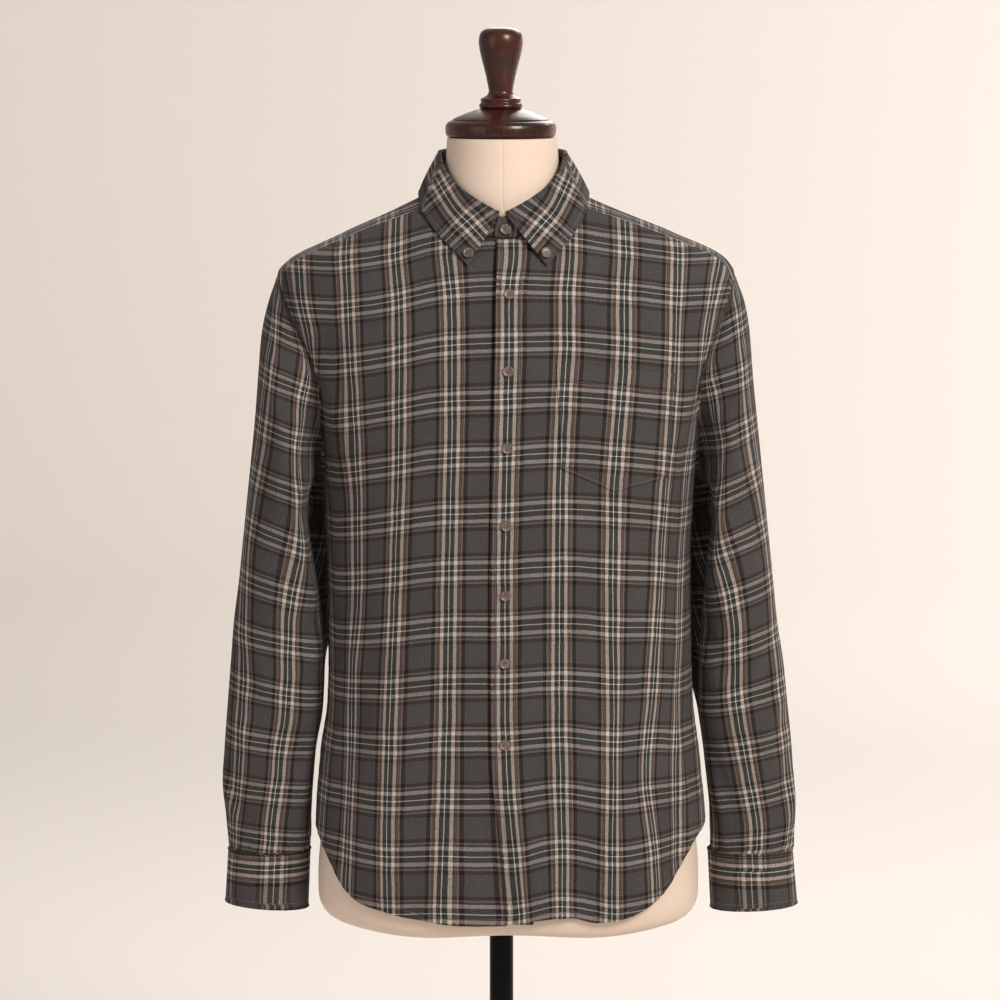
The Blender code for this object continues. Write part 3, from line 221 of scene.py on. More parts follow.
def finished(piece, name, finish, slot, *nodes, smooth=40.0):
    """Names a piece, gives it its finish, and lets it stand for its solids."""
    piece.name = piece.data.name = name
    piece.data.materials.clear()
    piece.data.materials.append(finish)
    pick(piece)
    bpy.ops.object.shade_smooth_by_angle(angle=math.radians(smooth))
    piece.select_set(False)
    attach(piece, "root")
    if nodes:
        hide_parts(*nodes)
    return piece


base_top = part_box("stand_base")[1].z
base_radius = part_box("stand_base")[1].x
finished(spun(rounded(((0.0, 0.0), (base_radius, 0.0), (base_radius, 0.0052),
                       (base_radius - 0.004, 0.0086), (0.060, 0.0125), (0.026, 0.0142),
                       (0.022, base_top), (0.0, base_top)), 0.0016), 128),
         "base_plate", steel_finish, "black_steel", "stand_base")
pole_low, pole_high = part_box("pole")
finished(spun(rounded(((0.0, pole_low.z), (pole_high.x, pole_low.z), (pole_high.x, pole_high.z),
                       (0.0, pole_high.z)), 0.0006), 48), "stand_pole", steel_finish,
         "black_steel", "pole")

# ======== neck cap and finial
# Both are turned in a close-grained hardwood, stained a dark red-brown and varnished.  The cap is
# a domed disc with a bold rounded rim, and the finial is the handle that lifts the form.

WOOD_AXIS = -0.0008
wood_finish, tree, shader = new_finish("dark_stained_varnished_beech")
where = add_node(tree, "TexCoord")
along = add_node(tree, "Mapping", feeds={      # fibres run up the handle
    "Vector": where.outputs["Object"], "Scale": (1.0, 1.0, 0.10)})
grain = add_node(tree, "TexNoise", feeds={     # 2.5 mm figure
    "Vector": along.outputs["Vector"], "Scale": 400.0, "Detail": 4.0, "Distortion": 0.6})
cloud = add_node(tree, "TexNoise", feeds={
    "Vector": where.outputs["Object"], "Scale": 34.0, "Detail": 3.0})
both = add_node(tree, "Mix", {"data_type": "FLOAT"}, {
    0: 0.55, 2: grain.outputs["Fac"], 3: cloud.outputs["Fac"]})
stain = add_node(tree, "ValToRGB", feeds={"Fac": both.outputs[0]})
dye(stain.color_ramp, (0.36, "#1a0803"), (0.64, "#4a1d0b"))
pores = add_node(tree, "Bump", feeds={
    "Strength": 0.12, "Distance": 0.0003, "Height": grain.outputs["Fac"]})
feed(tree, shader, {"Base Color": stain.outputs["Color"], "Normal": pores.outputs["Normal"],
                    "Roughness": 0.36, "Specular IOR Level": 0.3, "Coat Weight": 0.22,
                    "Coat Roughness": 0.12})

cap_low, cap_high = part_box("neck_cap")
cap_line = ((0.0, cap_low.z), (0.0500, cap_low.z), (0.0552, 1.3552), (0.0572, 1.3578),
            (0.0577, 1.3615), (0.0577, 1.3650), (0.0570, 1.3682), (0.0548, 1.3706),
            (0.0520, 1.3718), (0.0506, 1.3722), (0.0500, 1.3736), (0.0440, 1.3764),
            (0.0360, 1.3796), (0.0270, 1.3828), (0.0225, cap_high.z), (0.0, cap_high.z))
finished(spun(rounded(cap_line, 0.0008), 112, WOOD_AXIS), "turned_neck_cap", wood_finish,
         "turned_wood", "neck_cap")
top_low, top_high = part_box("finial")
finial_line = ((0.0, top_low.z), (0.0215, top_low.z), (0.0225, 1.3862), (0.0226, 1.3880),
               (0.0216, 1.3898), (0.0206, 1.3906), (0.0206, 1.3920), (0.0212, 1.3932),
               (0.0208, 1.3948), (0.0180, 1.3960), (0.0140, 1.3985), (0.0124, 1.4015),
               (0.0128, 1.4050), (0.0140, 1.4110), (0.0156, 1.4190), (0.0176, 1.4270),
               (0.0199, 1.4355), (0.0219, 1.4440), (0.0229, 1.4510), (0.0230, 1.4555),
               (0.0222, 1.4605), (0.0200, 1.4643), (0.0150, 1.4672), (0.0070, top_high.z),
               (0.0, top_high.z))
finished(spun(rounded(finial_line, 0.0030), 80, WOOD_AXIS), "turned_finial", wood_finish,
         "turned_wood", "finial", smooth=50.0)

# ======== torso skin
# The shirt hangs on this skin: level sections of the worn shirt, each a rounded oval with its
# own front and back depth, in metres.  The form follows it closely from inside at the shoulders.

CLOTH = 0.0011            # one brushed flannel layer
DOUBLE_CLOTH = 0.0016     # stand, leaf and cuffs, two layers with interlining
LAP = CLOTH + 0.00040     # how far each layer that laps another is moved out
SKIN_COLUMNS = ("z", "half", "shift", "front", "back", "power")
SKIN = (
    (0.500, 0.2065, 0.0097, 0.1285, 0.1270, 2.60),
    (0.6315, 0.2060, 0.0096, 0.1268, 0.1250, 2.60),
    (0.709, 0.1994, 0.0085, 0.1250, 0.1225, 2.55),
    (0.7625, 0.1916, 0.0090, 0.1240, 0.1205, 2.50),
    (0.816, 0.1893, 0.0085, 0.1240, 0.1190, 2.50),
    (0.869, 0.1892, 0.0081, 0.1248, 0.1190, 2.50),
    (0.933, 0.1899, 0.0077, 0.1265, 0.1210, 2.50),
    (0.975, 0.1922, 0.0080, 0.1280, 0.1230, 2.55),
    (1.012, 0.1938, 0.0088, 0.1290, 0.1245, 2.60),
    (1.050, 0.1965, 0.0090, 0.1295, 0.1260, 2.65),
    (1.090, 0.2010, 0.0085, 0.1285, 0.1270, 2.65),
    (1.115, 0.2065, 0.0080, 0.1265, 0.1270, 2.65),
    (1.135, 0.2160, 0.0075, 0.1243, 0.1267, 2.60),
    (1.160, 0.2295, 0.0065, 0.1205, 0.1255, 2.55),
    (1.190, 0.2360, 0.0050, 0.1135, 0.1225, 2.45),
    (1.213, 0.2380, 0.0048, 0.1050, 0.1185, 2.35),
    (1.227, 0.2290, 0.0066, 0.0985, 0.1150, 2.30),
    (1.2354, 0.2170, 0.0078, 0.0930, 0.1125, 2.30),
    (1.2438, 0.1992, 0.0085, 0.0865, 0.1090, 2.30),
    (1.2521, 0.1800, 0.0075, 0.0790, 0.1050, 2.30),
    (1.2604, 0.1620, 0.0066, 0.0710, 0.1000, 2.30),
    (1.2688, 0.1418, 0.0056, 0.0635, 0.0940, 2.30),
    (1.2771, 0.1220, 0.0045, 0.0570, 0.0870, 2.25),
    (1.2854, 0.1035, 0.0032, 0.0510, 0.0780, 2.20),
    (1.2937, 0.0862, 0.0024, 0.0465, 0.0665, 2.15),
    (1.3020, 0.0715, 0.0022, 0.0430, 0.0560, 2.10),
    (1.3110, 0.0560, 0.0022, 0.0380, 0.0450, 2.10),
)


class Track:
    """Smooth reading of one table column with no overshoot between its rows."""

    def __init__(self, at, value):
        self.at = np.asarray(at, float)
        self.value = np.asarray(value, float)
        step = np.diff(self.at)
        slope = np.diff(self.value) / step
        tangent = np.zeros_like(self.value)
        tangent[0] = slope[0]
        tangent[-1] = slope[-1]
        for i in range(1, len(slope)):
            before, after = slope[i - 1], slope[i]
            if before * after > 0.0:
                wide, narrow = 2 * step[i] + step[i - 1], step[i] + 2 * step[i - 1]
                tangent[i] = (wide + narrow) / (wide / before + narrow / after)
        self.tangent = tangent

    def __call__(self, where):
        where = np.clip(np.asarray(where, float), self.at[0], self.at[-1])
        i = np.clip(np.searchsorted(self.at, where) - 1, 0, len(self.at) - 2)
        step = self.at[i + 1] - self.at[i]
        t = (where - self.at[i]) / step
        return ((1 + 2 * t) * (1 - t) ** 2 * self.value[i]
                + t * (1 - t) ** 2 * step * self.tangent[i]
                + t * t * (3 - 2 * t) * self.value[i + 1]
                + t * t * (t - 1) * step * self.tangent[i + 1])


def tracks(columns, rows):
    """One Track for each column after the first, keyed by its name."""
    cells = list(zip(*rows))
    return {name: Track(cells[0], cells[k]) for k, name in enumerate(columns) if k}


SHIRT_SKIN = tracks(SKIN_COLUMNS, SKIN)


def smooth_step(low, high, value):
    t = np.clip((np.asarray(value, float) - low) / (high - low), 0.0, 1.0)
    return t * t * (3 - 2 * t)


def section_point(skin, turn, z):
    """Point of a level section: turn is 0 at the centre front and +90 degrees at +X."""
    turn, z = np.broadcast_arrays(np.asarray(turn, float), np.asarray(z, float))
    power = skin["power"](z)
    side, ahead = np.sin(turn), np.cos(turn)
    reach = (np.abs(side) ** power + np.abs(ahead) ** power) ** (-1.0 / power)
    depth = np.where(ahead > 0, skin["front"](z), skin["back"](z))
    x = skin["shift"](z) + skin["half"](z) * side * reach
    return np.stack([x, -depth * ahead * reach, z], axis=-1)


def unit(vectors):
    """The same directions with length 1."""
    return vectors / np.maximum(np.linalg.norm(vectors, axis=-1, keepdims=True), 1e-12)


def skin_normal(skin, turn, z):
    small = 1e-4
    round_way = section_point(skin, turn + small, z) - section_point(skin, turn - small, z)
    up_way = section_point(skin, turn, z + small) - section_point(skin, turn, z - small)
    return unit(np.cross(round_way, up_way))


def turn_at(x, z, back=False):
    """Turn round the body at which a level section passes a distance from the middle plane."""
    share = np.clip((x - SHIRT_SKIN["shift"](z)) / SHIRT_SKIN["half"](z), -1.0, 1.0)
    power = SHIRT_SKIN["power"](z)
    ahead = np.maximum(1.0 - np.abs(share) ** power, 0.0) ** (1.0 / power)
    return np.arctan2(share, -ahead if back else ahead)


def depth_at(y, z):
    """Depth of the torso skin in front, or behind where y is positive."""
    return np.where(y < 0, SHIRT_SKIN["front"](z), SHIRT_SKIN["back"](z))


def outside(x, y, z):
    """Over 1 outside the torso skin and under 1 inside."""
    across = np.abs(x - SHIRT_SKIN["shift"](z)) / SHIRT_SKIN["half"](z)
    return across ** SHIRT_SKIN["power"](z) + (np.abs(y) / depth_at(y, z)) ** SHIRT_SKIN["power"](z)


def turn_of(x, y, z):
    """Turn round the body of a point on the skin."""
    return np.arctan2((x - SHIRT_SKIN["shift"](z)) / SHIRT_SKIN["half"](z), -y / depth_at(y, z))


def halve(low, high, is_inside, rounds=34):
    """Where a test turns from inside (low) to outside (high)."""
    low, high = np.array(low, float), np.array(high, float)
    for _ in range(rounds):
        middle = (low + high) / 2
        inside = is_inside(middle)
        low = np.where(inside, middle, low)
        high = np.where(inside, high, middle)
    return (low + high) / 2


def height_over(x, y):
    """Height of the torso skin straight above a point of the plan."""
    x, y = np.broadcast_arrays(np.asarray(x, float), np.asarray(y, float))
    return halve(np.full(x.shape, 1.18), np.full(x.shape, 1.311), lambda z: outside(x, y, z) < 1.0)


def girth_table(z, turns):
    """Distance round the body from the centre front, for rows of heights and of turns."""
    ring = section_point(SHIRT_SKIN, turns[None, :], np.asarray(z)[:, None])
    steps = np.linalg.norm(np.diff(ring, axis=1), axis=2)
    run = np.concatenate([np.zeros((len(ring), 1)), np.cumsum(steps, axis=1)], axis=1)
    return run - run[:, len(turns) // 2][:, None]


GIRTH_TURNS = np.linspace(-math.pi, math.pi, 721)
GIRTH_LEVELS = np.linspace(0.50, 1.31, 163)
GIRTH_RUN = girth_table(GIRTH_LEVELS, GIRTH_TURNS)
CHEST_RUN = girth_table([1.0], GIRTH_TURNS)[0]


def girth_at(turn, z):
    """Distance round the body from the centre front at its own height, signed."""
    turn = (np.asarray(turn, float) + math.pi) % (2 * math.pi) - math.pi
    row = np.clip((np.asarray(z, float) - 0.50) / 0.005, 0.0, 161.999)
    column = np.clip((turn + math.pi) / (2 * math.pi) * 720, 0.0, 719.999)
    r, c = row.astype(int), column.astype(int)
    fr, fc = row - r, column - c
    return ((GIRTH_RUN[r, c] * (1 - fc) + GIRTH_RUN[r, c + 1] * fc) * (1 - fr)
            + (GIRTH_RUN[r + 1, c] * (1 - fc) + GIRTH_RUN[r + 1, c + 1] * fc) * fr)


# ======== dress form
# A padded shell covered in undyed linen, shaped to the shirt's shoulders, with a plain seam up
# the centre front and the centre back.  It is closed below by two soft lobes under the hips.

FORM = (
    (0.5285, 0.0330, 0.0072, 0.0280, 0.0280, 2.20),
    (0.5290, 0.1230, 0.0072, 0.0750, 0.0770, 2.40),
    (0.5310, 0.1660, 0.0072, 0.1010, 0.1020, 2.60),
    (0.5360, 0.1880, 0.0072, 0.1140, 0.1150, 2.65),
    (0.5450, 0.1995, 0.0072, 0.1200, 0.1205, 2.65),
    (0.5580, 0.2042, 0.0072, 0.1228, 0.1230, 2.65),
    (0.5800, 0.2045, 0.0072, 0.1228, 0.1228, 2.60),
    (0.6250, 0.2010, 0.0074, 0.1195, 0.1195, 2.55),
    (0.6900, 0.1900, 0.0078, 0.1120, 0.1130, 2.45),
    (0.7600, 0.1755, 0.0080, 0.1060, 0.1040, 2.40),
    (0.8500, 0.1650, 0.0080, 0.1040, 0.0990, 2.35),
    (0.9300, 0.1680, 0.0080, 0.1100, 0.1040, 2.35),
    (1.0000, 0.1740, 0.0080, 0.1190, 0.1120, 2.40),
    (1.0600, 0.1800, 0.0080, 0.1230, 0.1170, 2.45),
    (1.1100, 0.1880, 0.0080, 0.1225, 0.1220, 2.45),
    (1.1500, 0.2010, 0.0072, 0.1185, 0.1220, 2.40),
    (1.1850, 0.2110, 0.0062, 0.1120, 0.1200, 2.35),
    (1.2070, 0.2180, 0.0060, 0.1040, 0.1165, 2.30),
    (1.2200, 0.2200, 0.0062, 0.0990, 0.1140, 2.30),
)
NECK_COLUMNS = ("z", "half", "front", "back")
NECK = (
    (1.2200, 0.0640, 0.0670, 0.0540),
    (1.2850, 0.0625, 0.0655, 0.0515),
    (1.3020, 0.0612, 0.0645, 0.0508),
    (1.3180, 0.0598, 0.0628, 0.0502),
    (1.3542, 0.0572, 0.0592, 0.0488),
)
FORM_SKIN = tracks(SKIN_COLUMNS, FORM)
NECK_LINE = tracks(NECK_COLUMNS, NECK)
FORM_CLEAR = 0.0034
FORM_LOBES = (0.0045, 0.095, 0.055)
FORM_LEVELS = np.concatenate([
    (0.5285, 0.5286, 0.5290, 0.5298, 0.5310, 0.5330, 0.5360, 0.5400, 0.5450, 0.5510),
    np.linspace(0.558, 1.220, 74), np.linspace(1.2245, 1.302, 18), np.linspace(1.308, 1.3542, 9)])


def oval(turn, half, depth, power):
    return ((np.abs(np.sin(turn)) / half) ** power + (np.abs(np.cos(turn)) / depth) ** power) ** (
        -1.0 / power)


def form_ring(turn, z):
    """Level ring of the form: its own table, then just under the yoke, then the neck's column."""
    under = FORM_SKIN if z <= FORM[-1][0] else SHIRT_SKIN
    level = z if z <= FORM[-1][0] else z + FORM_CLEAR
    depth = np.where(np.cos(turn) > 0, under["front"](level), under["back"](level))
    sunk = FORM_CLEAR + 0.002 * float(smooth_step(1.270, 1.292, z))
    reach = oval(turn, under["half"](level), depth, under["power"](level)) - sunk
    reach = np.where(z > SKIN[-1][0], 0.0, reach)
    column = oval(turn, NECK_LINE["half"](z),
                  np.where(np.cos(turn) > 0, NECK_LINE["front"](z), NECK_LINE["back"](z)), 2.0)
    soft = 0.0012
    reach = np.where(z < 1.22, reach, soft * np.logaddexp(reach / soft, column / soft))
    seam = np.exp(-(reach * np.sin(turn) / 0.0009) ** 2)
    reach = reach - 0.00045 * seam
    centre = float(under["shift"](level)) - 0.0016 * float(smooth_step(1.25, 1.30, z))
    x = centre + reach * np.sin(turn)
    drop, middle, width = FORM_LOBES
    lobe = np.exp(-((np.abs(x - 0.0072) - middle) / width) ** 2) * (1 - smooth_step(0.534, 0.585, z))
    lobe = lobe * smooth_step(0.5285, 0.5289, z)
    return np.stack([x, -reach * np.cos(turn), z - drop * lobe], -1)


linen_finish, tree, shader = new_finish("undyed_plain_weave_linen")
where = add_node(tree, "TexCoord")
slubs = add_node(tree, "Mapping", feeds={
    "Vector": where.outputs["Object"], "Scale": (1.0, 1.0, 0.22)})
threads = add_node(tree, "TexNoise", feeds={    # 1.2 mm slubs, coarser than the cloth
    "Vector": slubs.outputs["Vector"], "Scale": 800.0, "Detail": 2.0})
stains = add_node(tree, "TexNoise", feeds={
    "Vector": where.outputs["Object"], "Scale": 7.0, "Detail": 3.0})
tone = add_node(tree, "Mix", {"data_type": "FLOAT"}, {
    0: 0.35, 2: stains.outputs["Fac"], 3: threads.outputs["Fac"]})
shade = add_node(tree, "ValToRGB", feeds={"Fac": tone.outputs[0]})
dye(shade.color_ramp, (0.32, "#cfb9a5"), (0.68, "#dac7b7"))
weave = add_node(tree, "Bump", feeds={
    "Strength": 0.22, "Distance": 0.0004, "Height": threads.outputs["Fac"]})
feed(tree, shader, {"Base Color": shade.outputs["Color"], "Normal": weave.outputs["Normal"],
                    "Roughness": 0.82, "Sheen Weight": 0.12, "Sheen Roughness": 0.5})

seam_turns = np.array([0.0, 0.0035, 0.007, 0.011, 0.016, 0.025])
form_turns = np.concatenate([seam_turns, np.linspace(0.045, math.pi - 0.045, 66),
                             math.pi - seam_turns[::-1]])
form_turns = np.concatenate([form_turns, 2 * math.pi - form_turns[-2:0:-1]])
form_rings = np.array([form_ring(np.append(form_turns, 2 * math.pi), z) for z in FORM_LEVELS])


def lay_grid(name, points, grain=None, welded=False, outward=None):
    """A flat grid primitive whose points are then laid on their places, row by row."""
    rows, columns = points.shape[:2]
    bpy.ops.mesh.primitive_grid_add(x_subdivisions=columns - 1, y_subdivisions=rows - 1, size=1.0)
    piece = bpy.context.object
    piece.name = piece.data.name = name
    piece.data.vertices.foreach_set("co", points.reshape(-1, 3).ravel())
    piece.data.update()
    if grain is not None:
        corners = np.empty(len(piece.data.loops), dtype=np.int32)
        piece.data.loops.foreach_get("vertex_index", corners)
        threads = piece.data.uv_layers[0]
        threads.name = "cloth"
        threads.uv.foreach_set("vector", grain.reshape(-1, 2)[corners].astype(np.float32).ravel())
    r, c = rows // 2, columns // 2
    facing = np.cross(points[r, c + 1] - points[r, c], points[r + 1, c] - points[r, c])
    edit()
    if outward is not None and np.dot(facing, outward(points[r, c])) < 0:
        bpy.ops.mesh.flip_normals()
    if welded:
        bpy.ops.mesh.remove_doubles(threshold=0.000004)
    bpy.ops.object.mode_set(mode="OBJECT")
    return piece


def from_middle(point):
    """Away from the object's axis, level."""
    return np.array([point[0] - 0.004, point[1], 0.0])


form = lay_grid("linen_form", form_rings, welded=True, outward=from_middle)
edit("DESELECT")
bpy.ops.mesh.select_non_manifold()
bpy.ops.mesh.edge_face_add()
bpy.ops.object.mode_set(mode="OBJECT")
finished(form, "linen_form", linen_finish, "form_linen", "dress_form", smooth=60.0)

# ======== flannel
# Yarn-dyed brushed cotton in a 2/2 twill, about 150 g a square metre.  Both ways it carries the
# same check, 60 mm to a repeat.  Brushing raises a short nap that blurs the threads.

PITCH = 0.060
SETT_COLUMNS = ("warp_to", "weft_to", "warp", "weft")       # each stripe's far edge in millimetres
SETT = (                                        # from the middle of a stripe group outwards
    (0.50, 0.55, "#e4e7e7", "#e4e6e6"),         # one pale line
    (5.10, 6.10, "#6d6c67", "#686863"),         # dark bottle green
    (8.80, 10.2, "#d9d2cd", "#cec8c4"),         # broad cream band
    (9.80, 11.2, "#766860", "#69615c"),         # its brown shadow
    (12.5, 12.7, "#94857a", "#756a64"),         # rust
    (13.9, 14.6, "#aba29c", "#a49d98"),         # fine cream line
    (18.2, 18.6, "#564a4c", "#5a5052"),         # black border
    (30.0, 30.0, "#83807f", "#83807f"),         # charcoal ground
)

WALE = 0.0019             # the twill's ribs, drawn twice as coarse as real ones so that they show
flannel_finish, tree, shader = new_finish("brushed_cotton_twill_flannel")
lie = add_node(tree, "UVMap", {"uv_map": "cloth"})
drift = add_node(tree, "TexNoise", feeds={      # threads wander a little
    "Vector": lie.outputs["UV"], "Scale": 38.0, "Detail": 2.0})
shift = add_node(tree, "VectorMath", {"operation": "SUBTRACT"}, {
    0: drift.outputs["Color"], 1: (0.5, 0.5, 0.5)})
small = add_node(tree, "VectorMath", {"operation": "SCALE"}, {
    0: shift.outputs["Vector"], "Scale": 0.0016})
lain = add_node(tree, "VectorMath", {"operation": "ADD"}, {
    0: lie.outputs["UV"], 1: small.outputs["Vector"]})
ways = add_node(tree, "SeparateXYZ", feeds={"Vector": lain.outputs["Vector"]})
straight = add_node(tree, "SeparateXYZ", feeds={"Vector": lie.outputs["UV"]})
yarns = []
for way, kind in (("X", "warp"), ("Y", "weft")):
    off = add_node(tree, "Math", {"operation": "PINGPONG"}, {
        0: ways.outputs[way], 1: PITCH / 2})
    share = add_node(tree, "Math", {"operation": "DIVIDE"}, {0: off.outputs[0], 1: PITCH / 2})
    dyed = add_node(tree, "ValToRGB", feeds={"Fac": share.outputs[0]})
    stops, begin = [], 0.0
    for row in (dict(zip(SETT_COLUMNS, cells)) for cells in SETT):
        end = row[kind + "_to"] / 1000 / (PITCH / 2)
        blur = min(0.006, 0.3 * (end - begin))
        stops += [(begin + blur, row[kind]), (end - blur, row[kind])]
        begin = end
    dye(dyed.color_ramp, *stops)
    yarns.append(dyed)
diagonal = add_node(tree, "Math", {"operation": "ADD"}, {
    0: straight.outputs["X"], 1: straight.outputs["Y"]})
turns = add_node(tree, "Math", {"operation": "MULTIPLY"}, {
    0: diagonal.outputs[0], 1: 2 * math.pi / WALE})
wale = add_node(tree, "Math", {"operation": "SINE"}, {0: turns.outputs[0]})
fibres = add_node(tree, "TexNoise", feeds={     # 1.1 mm tufts of the nap
    "Vector": lie.outputs["UV"], "Scale": 900.0, "Detail": 3.0, "Roughness": 0.6})
tufts = add_node(tree, "Math", {"operation": "MULTIPLY_ADD"}, {
    0: fibres.outputs["Fac"], 1: 1.6, 2: -0.36})
over = add_node(tree, "Math", {"operation": "MULTIPLY_ADD", "use_clamp": True}, {
    0: wale.outputs[0], 1: 0.14, 2: tufts.outputs[0]})
woven = add_node(tree, "Mix", {"data_type": "RGBA"}, {
    0: over.outputs[0], 6: yarns[0].outputs["Color"], 7: yarns[1].outputs["Color"]})
patches = add_node(tree, "TexNoise", feeds={    # wash marks, 40 mm and more
    "Vector": lie.outputs["UV"], "Scale": 16.0, "Detail": 4.0})
deep = add_node(tree, "Gamma", feeds={          # light caught between the threads
    "Color": woven.outputs[2], "Gamma": 2.0})
bright = add_node(tree, "MapRange", feeds={
    "Value": patches.outputs["Fac"], "From Min": 0.3, "From Max": 0.7, "To Min": 0.90, "To Max": 1.10})
heather = add_node(tree, "TexNoise", feeds={    # 2 mm flecks, where the nap is thin
    "Vector": lie.outputs["UV"], "Scale": 480.0, "Detail": 2.0, "Roughness": 0.7})
flecks = add_node(tree, "MapRange", feeds={
    "Value": heather.outputs["Fac"], "From Min": 0.36, "From Max": 0.64, "To Min": 0.80, "To Max": 1.20})
both = add_node(tree, "Math", {"operation": "MULTIPLY"}, {
    0: bright.outputs["Result"], 1: flecks.outputs["Result"]})
melange = add_node(tree, "HueSaturation", feeds={
    "Color": deep.outputs["Color"], "Value": both.outputs[0]})
nap = add_node(tree, "Math", {"operation": "MULTIPLY_ADD"}, {
    0: wale.outputs[0], 1: 0.22, 2: fibres.outputs["Fac"]})
raised = add_node(tree, "Bump", feeds={
    "Strength": 0.55, "Distance": 0.0005, "Height": nap.outputs[0]})
rumple = add_node(tree, "TexNoise", feeds={     # faint crumple left by washing
    "Vector": lie.outputs["UV"], "Scale": 55.0, "Detail": 3.0, "Roughness": 0.55})
soft = add_node(tree, "Bump", feeds={
    "Strength": 0.35, "Distance": 0.0022, "Height": rumple.outputs["Fac"],
    "Normal": raised.outputs["Normal"]})
feed(tree, shader, {"Base Color": melange.outputs["Color"], "Normal": soft.outputs["Normal"],
                    "Roughness": 0.94, "Specular IOR Level": 0.2, "Sheen Weight": 0.08,
                    "Sheen Roughness": 0.55, "Sheen Tint": linear("#c9c0ba")})

STITCH_RUNS = {}          # rows of topstitching, sewn at the end: places and facings
CHANNEL, CHANNEL_HALF = 0.00028, 0.0008      # how far a stitch row sinks, and its half width


def run_along(points, axis):
    """Distance along the grid's rows or columns, from their start."""
    steps = np.linalg.norm(np.diff(points, axis=axis), axis=2)
    zero = np.zeros_like(np.take(steps, [0], axis=axis))
    return np.concatenate([zero, np.cumsum(steps, axis=axis)], axis=axis)


def facing_of(points, outward):
    """Unit normals of a grid, pointing outwards."""
    down, across = np.gradient(points, axis=0), np.gradient(points, axis=1)
    normal = unit(np.cross(across, down))
    r, c = points.shape[0] // 2, points.shape[1] // 2
    return normal * np.sign(np.dot(normal[r, c], outward(points[r, c])))


def uneven(along, seed):
    """A wave of no fixed rhythm, from -1 to 1."""
    return (np.sin(2 * math.pi * along + seed) + 0.6 * np.sin(2 * math.pi * 1.71 * along + 2.3 * seed)
            + 0.45 * np.sin(2 * math.pi * 0.43 * along + 1.1 * seed)) / 2.05


def close_to(length, fine, coarse, start=0.0, end=0.0):
    """Stations from 0 to 1 along a length, close together near its start and its end."""
    spots = [0.0]
    while spots[-1] < length - 0.3 * fine:
        near = min(spots[-1] - start, length - spots[-1] - end)
        spots.append(spots[-1] + (fine if near < 0 else min(coarse, fine + 0.35 * near)))
    return np.array(spots) / spots[-1]


def resampled(points, values, rows, columns):
    """Values of a grid at new stations, as shares of the run of its rows and columns."""
    down, across = run_along(points, 0), run_along(points, 1)
    row_share = np.mean(down / np.maximum(down[-1:], 1e-9), axis=1)
    column_share = np.mean(across / np.maximum(across[:, -1:], 1e-9), axis=0)
    at_row = np.interp(rows, row_share, np.arange(len(row_share)))
    at_column = np.interp(columns, column_share, np.arange(len(column_share)))
    r = np.minimum(at_row.astype(int), len(row_share) - 2)
    c = np.minimum(at_column.astype(int), len(column_share) - 2)
    fr, fc = (at_row - r)[:, None], (at_column - c)[None, :]
    made = []
    for value in values:
        top = value[r][:, c] * (1 - fc) + value[r][:, c + 1] * fc
        low = value[r + 1][:, c] * (1 - fc) + value[r + 1][:, c + 1] * fc
        made.append(top * (1 - fr) + low * fr)
    return made


def sewn(points, outward, edges, run):
    """Puckers a grid along its sewn edges, sinks a channel under each row of topstitching and
    keeps the rows for the thread.  edges: side -> (stitch distances, reach, height, rhythm)."""
    normal = facing_of(points, outward)
    down, across = run_along(points, 0), run_along(points, 1)
    off = {"first_row": (down, across), "last_row": (down[-1:] - down, across),
           "first_column": (across, down), "last_column": (across[:, -1:] - across, down)}
    lift = np.zeros(points.shape[:2])
    for count, (side, (rows, reach, height, rhythm)) in enumerate(edges.items()):
        gap, along = off[side]
        wave = uneven(along / rhythm, 1.7 * count + 3.0 * points[0, 0, 0] * 10)
        lift += height * wave * np.exp(-gap / reach)
        for distance in rows:
            lift -= CHANNEL * np.exp(-((gap - distance) / CHANNEL_HALF) ** 2)
    moved = points + lift[..., None] * normal
    for side, (rows, _, _, _) in edges.items():
        grids = (off[side][0], moved, normal)
        lines = [grid.swapaxes(0, 1) for grid in grids] if side.endswith("row") else grids
        for distance in rows:
            laid = []
            for cut, way, up in zip(*lines):
                if cut.max() < distance:
                    continue
                order = np.argsort(cut)
                laid.append([np.interp(distance, cut[order], value[order, k])
                             for value in (way, up) for k in range(3)])
            if len(laid) > 2:
                STITCH_RUNS.setdefault(run, []).append(np.array(laid))
    return moved


def bordered(points, grain, edges):
    """Adds the turned edges: "seam" folds an allowance inwards, "free" rounds a folded edge."""
    shapes = {"seam": ((0.0003, 0.0001), (0.00034, 0.0007), (0.00034, 0.0024)),
              "free": ((0.00025, 0.00008), (0.00042, 0.0003), (0.00046, 0.0006))}
    for side, kind in edges.items():
        flip, turned = side.startswith("first"), side.endswith("column")
        if turned:
            points, grain = points.swapaxes(0, 1), grain.swapaxes(0, 1)
        if flip:
            points, grain = points[::-1], grain[::-1]
        away = unit(points[-1] - points[-2])
        normal = unit(np.cross(away, np.gradient(points[-1], axis=0)))
        middle = len(points[-1]) // 2
        normal *= np.sign(np.dot(normal[middle], inward(points[-1][middle])))
        slope = (grain[-1] - grain[-2]) / np.maximum(
            np.linalg.norm(points[-1] - points[-2], axis=-1, keepdims=True), 1e-9)
        edge, edge_grain = points[-1], grain[-1]
        for out, deep in shapes[kind]:
            points = np.concatenate([points, [edge + away * out + normal * deep]])
            grain = np.concatenate([grain, [edge_grain + slope * (out + deep)]])
        if flip:
            points, grain = points[::-1], grain[::-1]
        if turned:
            points, grain = points.swapaxes(0, 1), grain.swapaxes(0, 1)
    return points, grain


def inward(point):
    return -from_middle(point)


SIDES = ("first_row", "last_row", "first_column", "last_column")


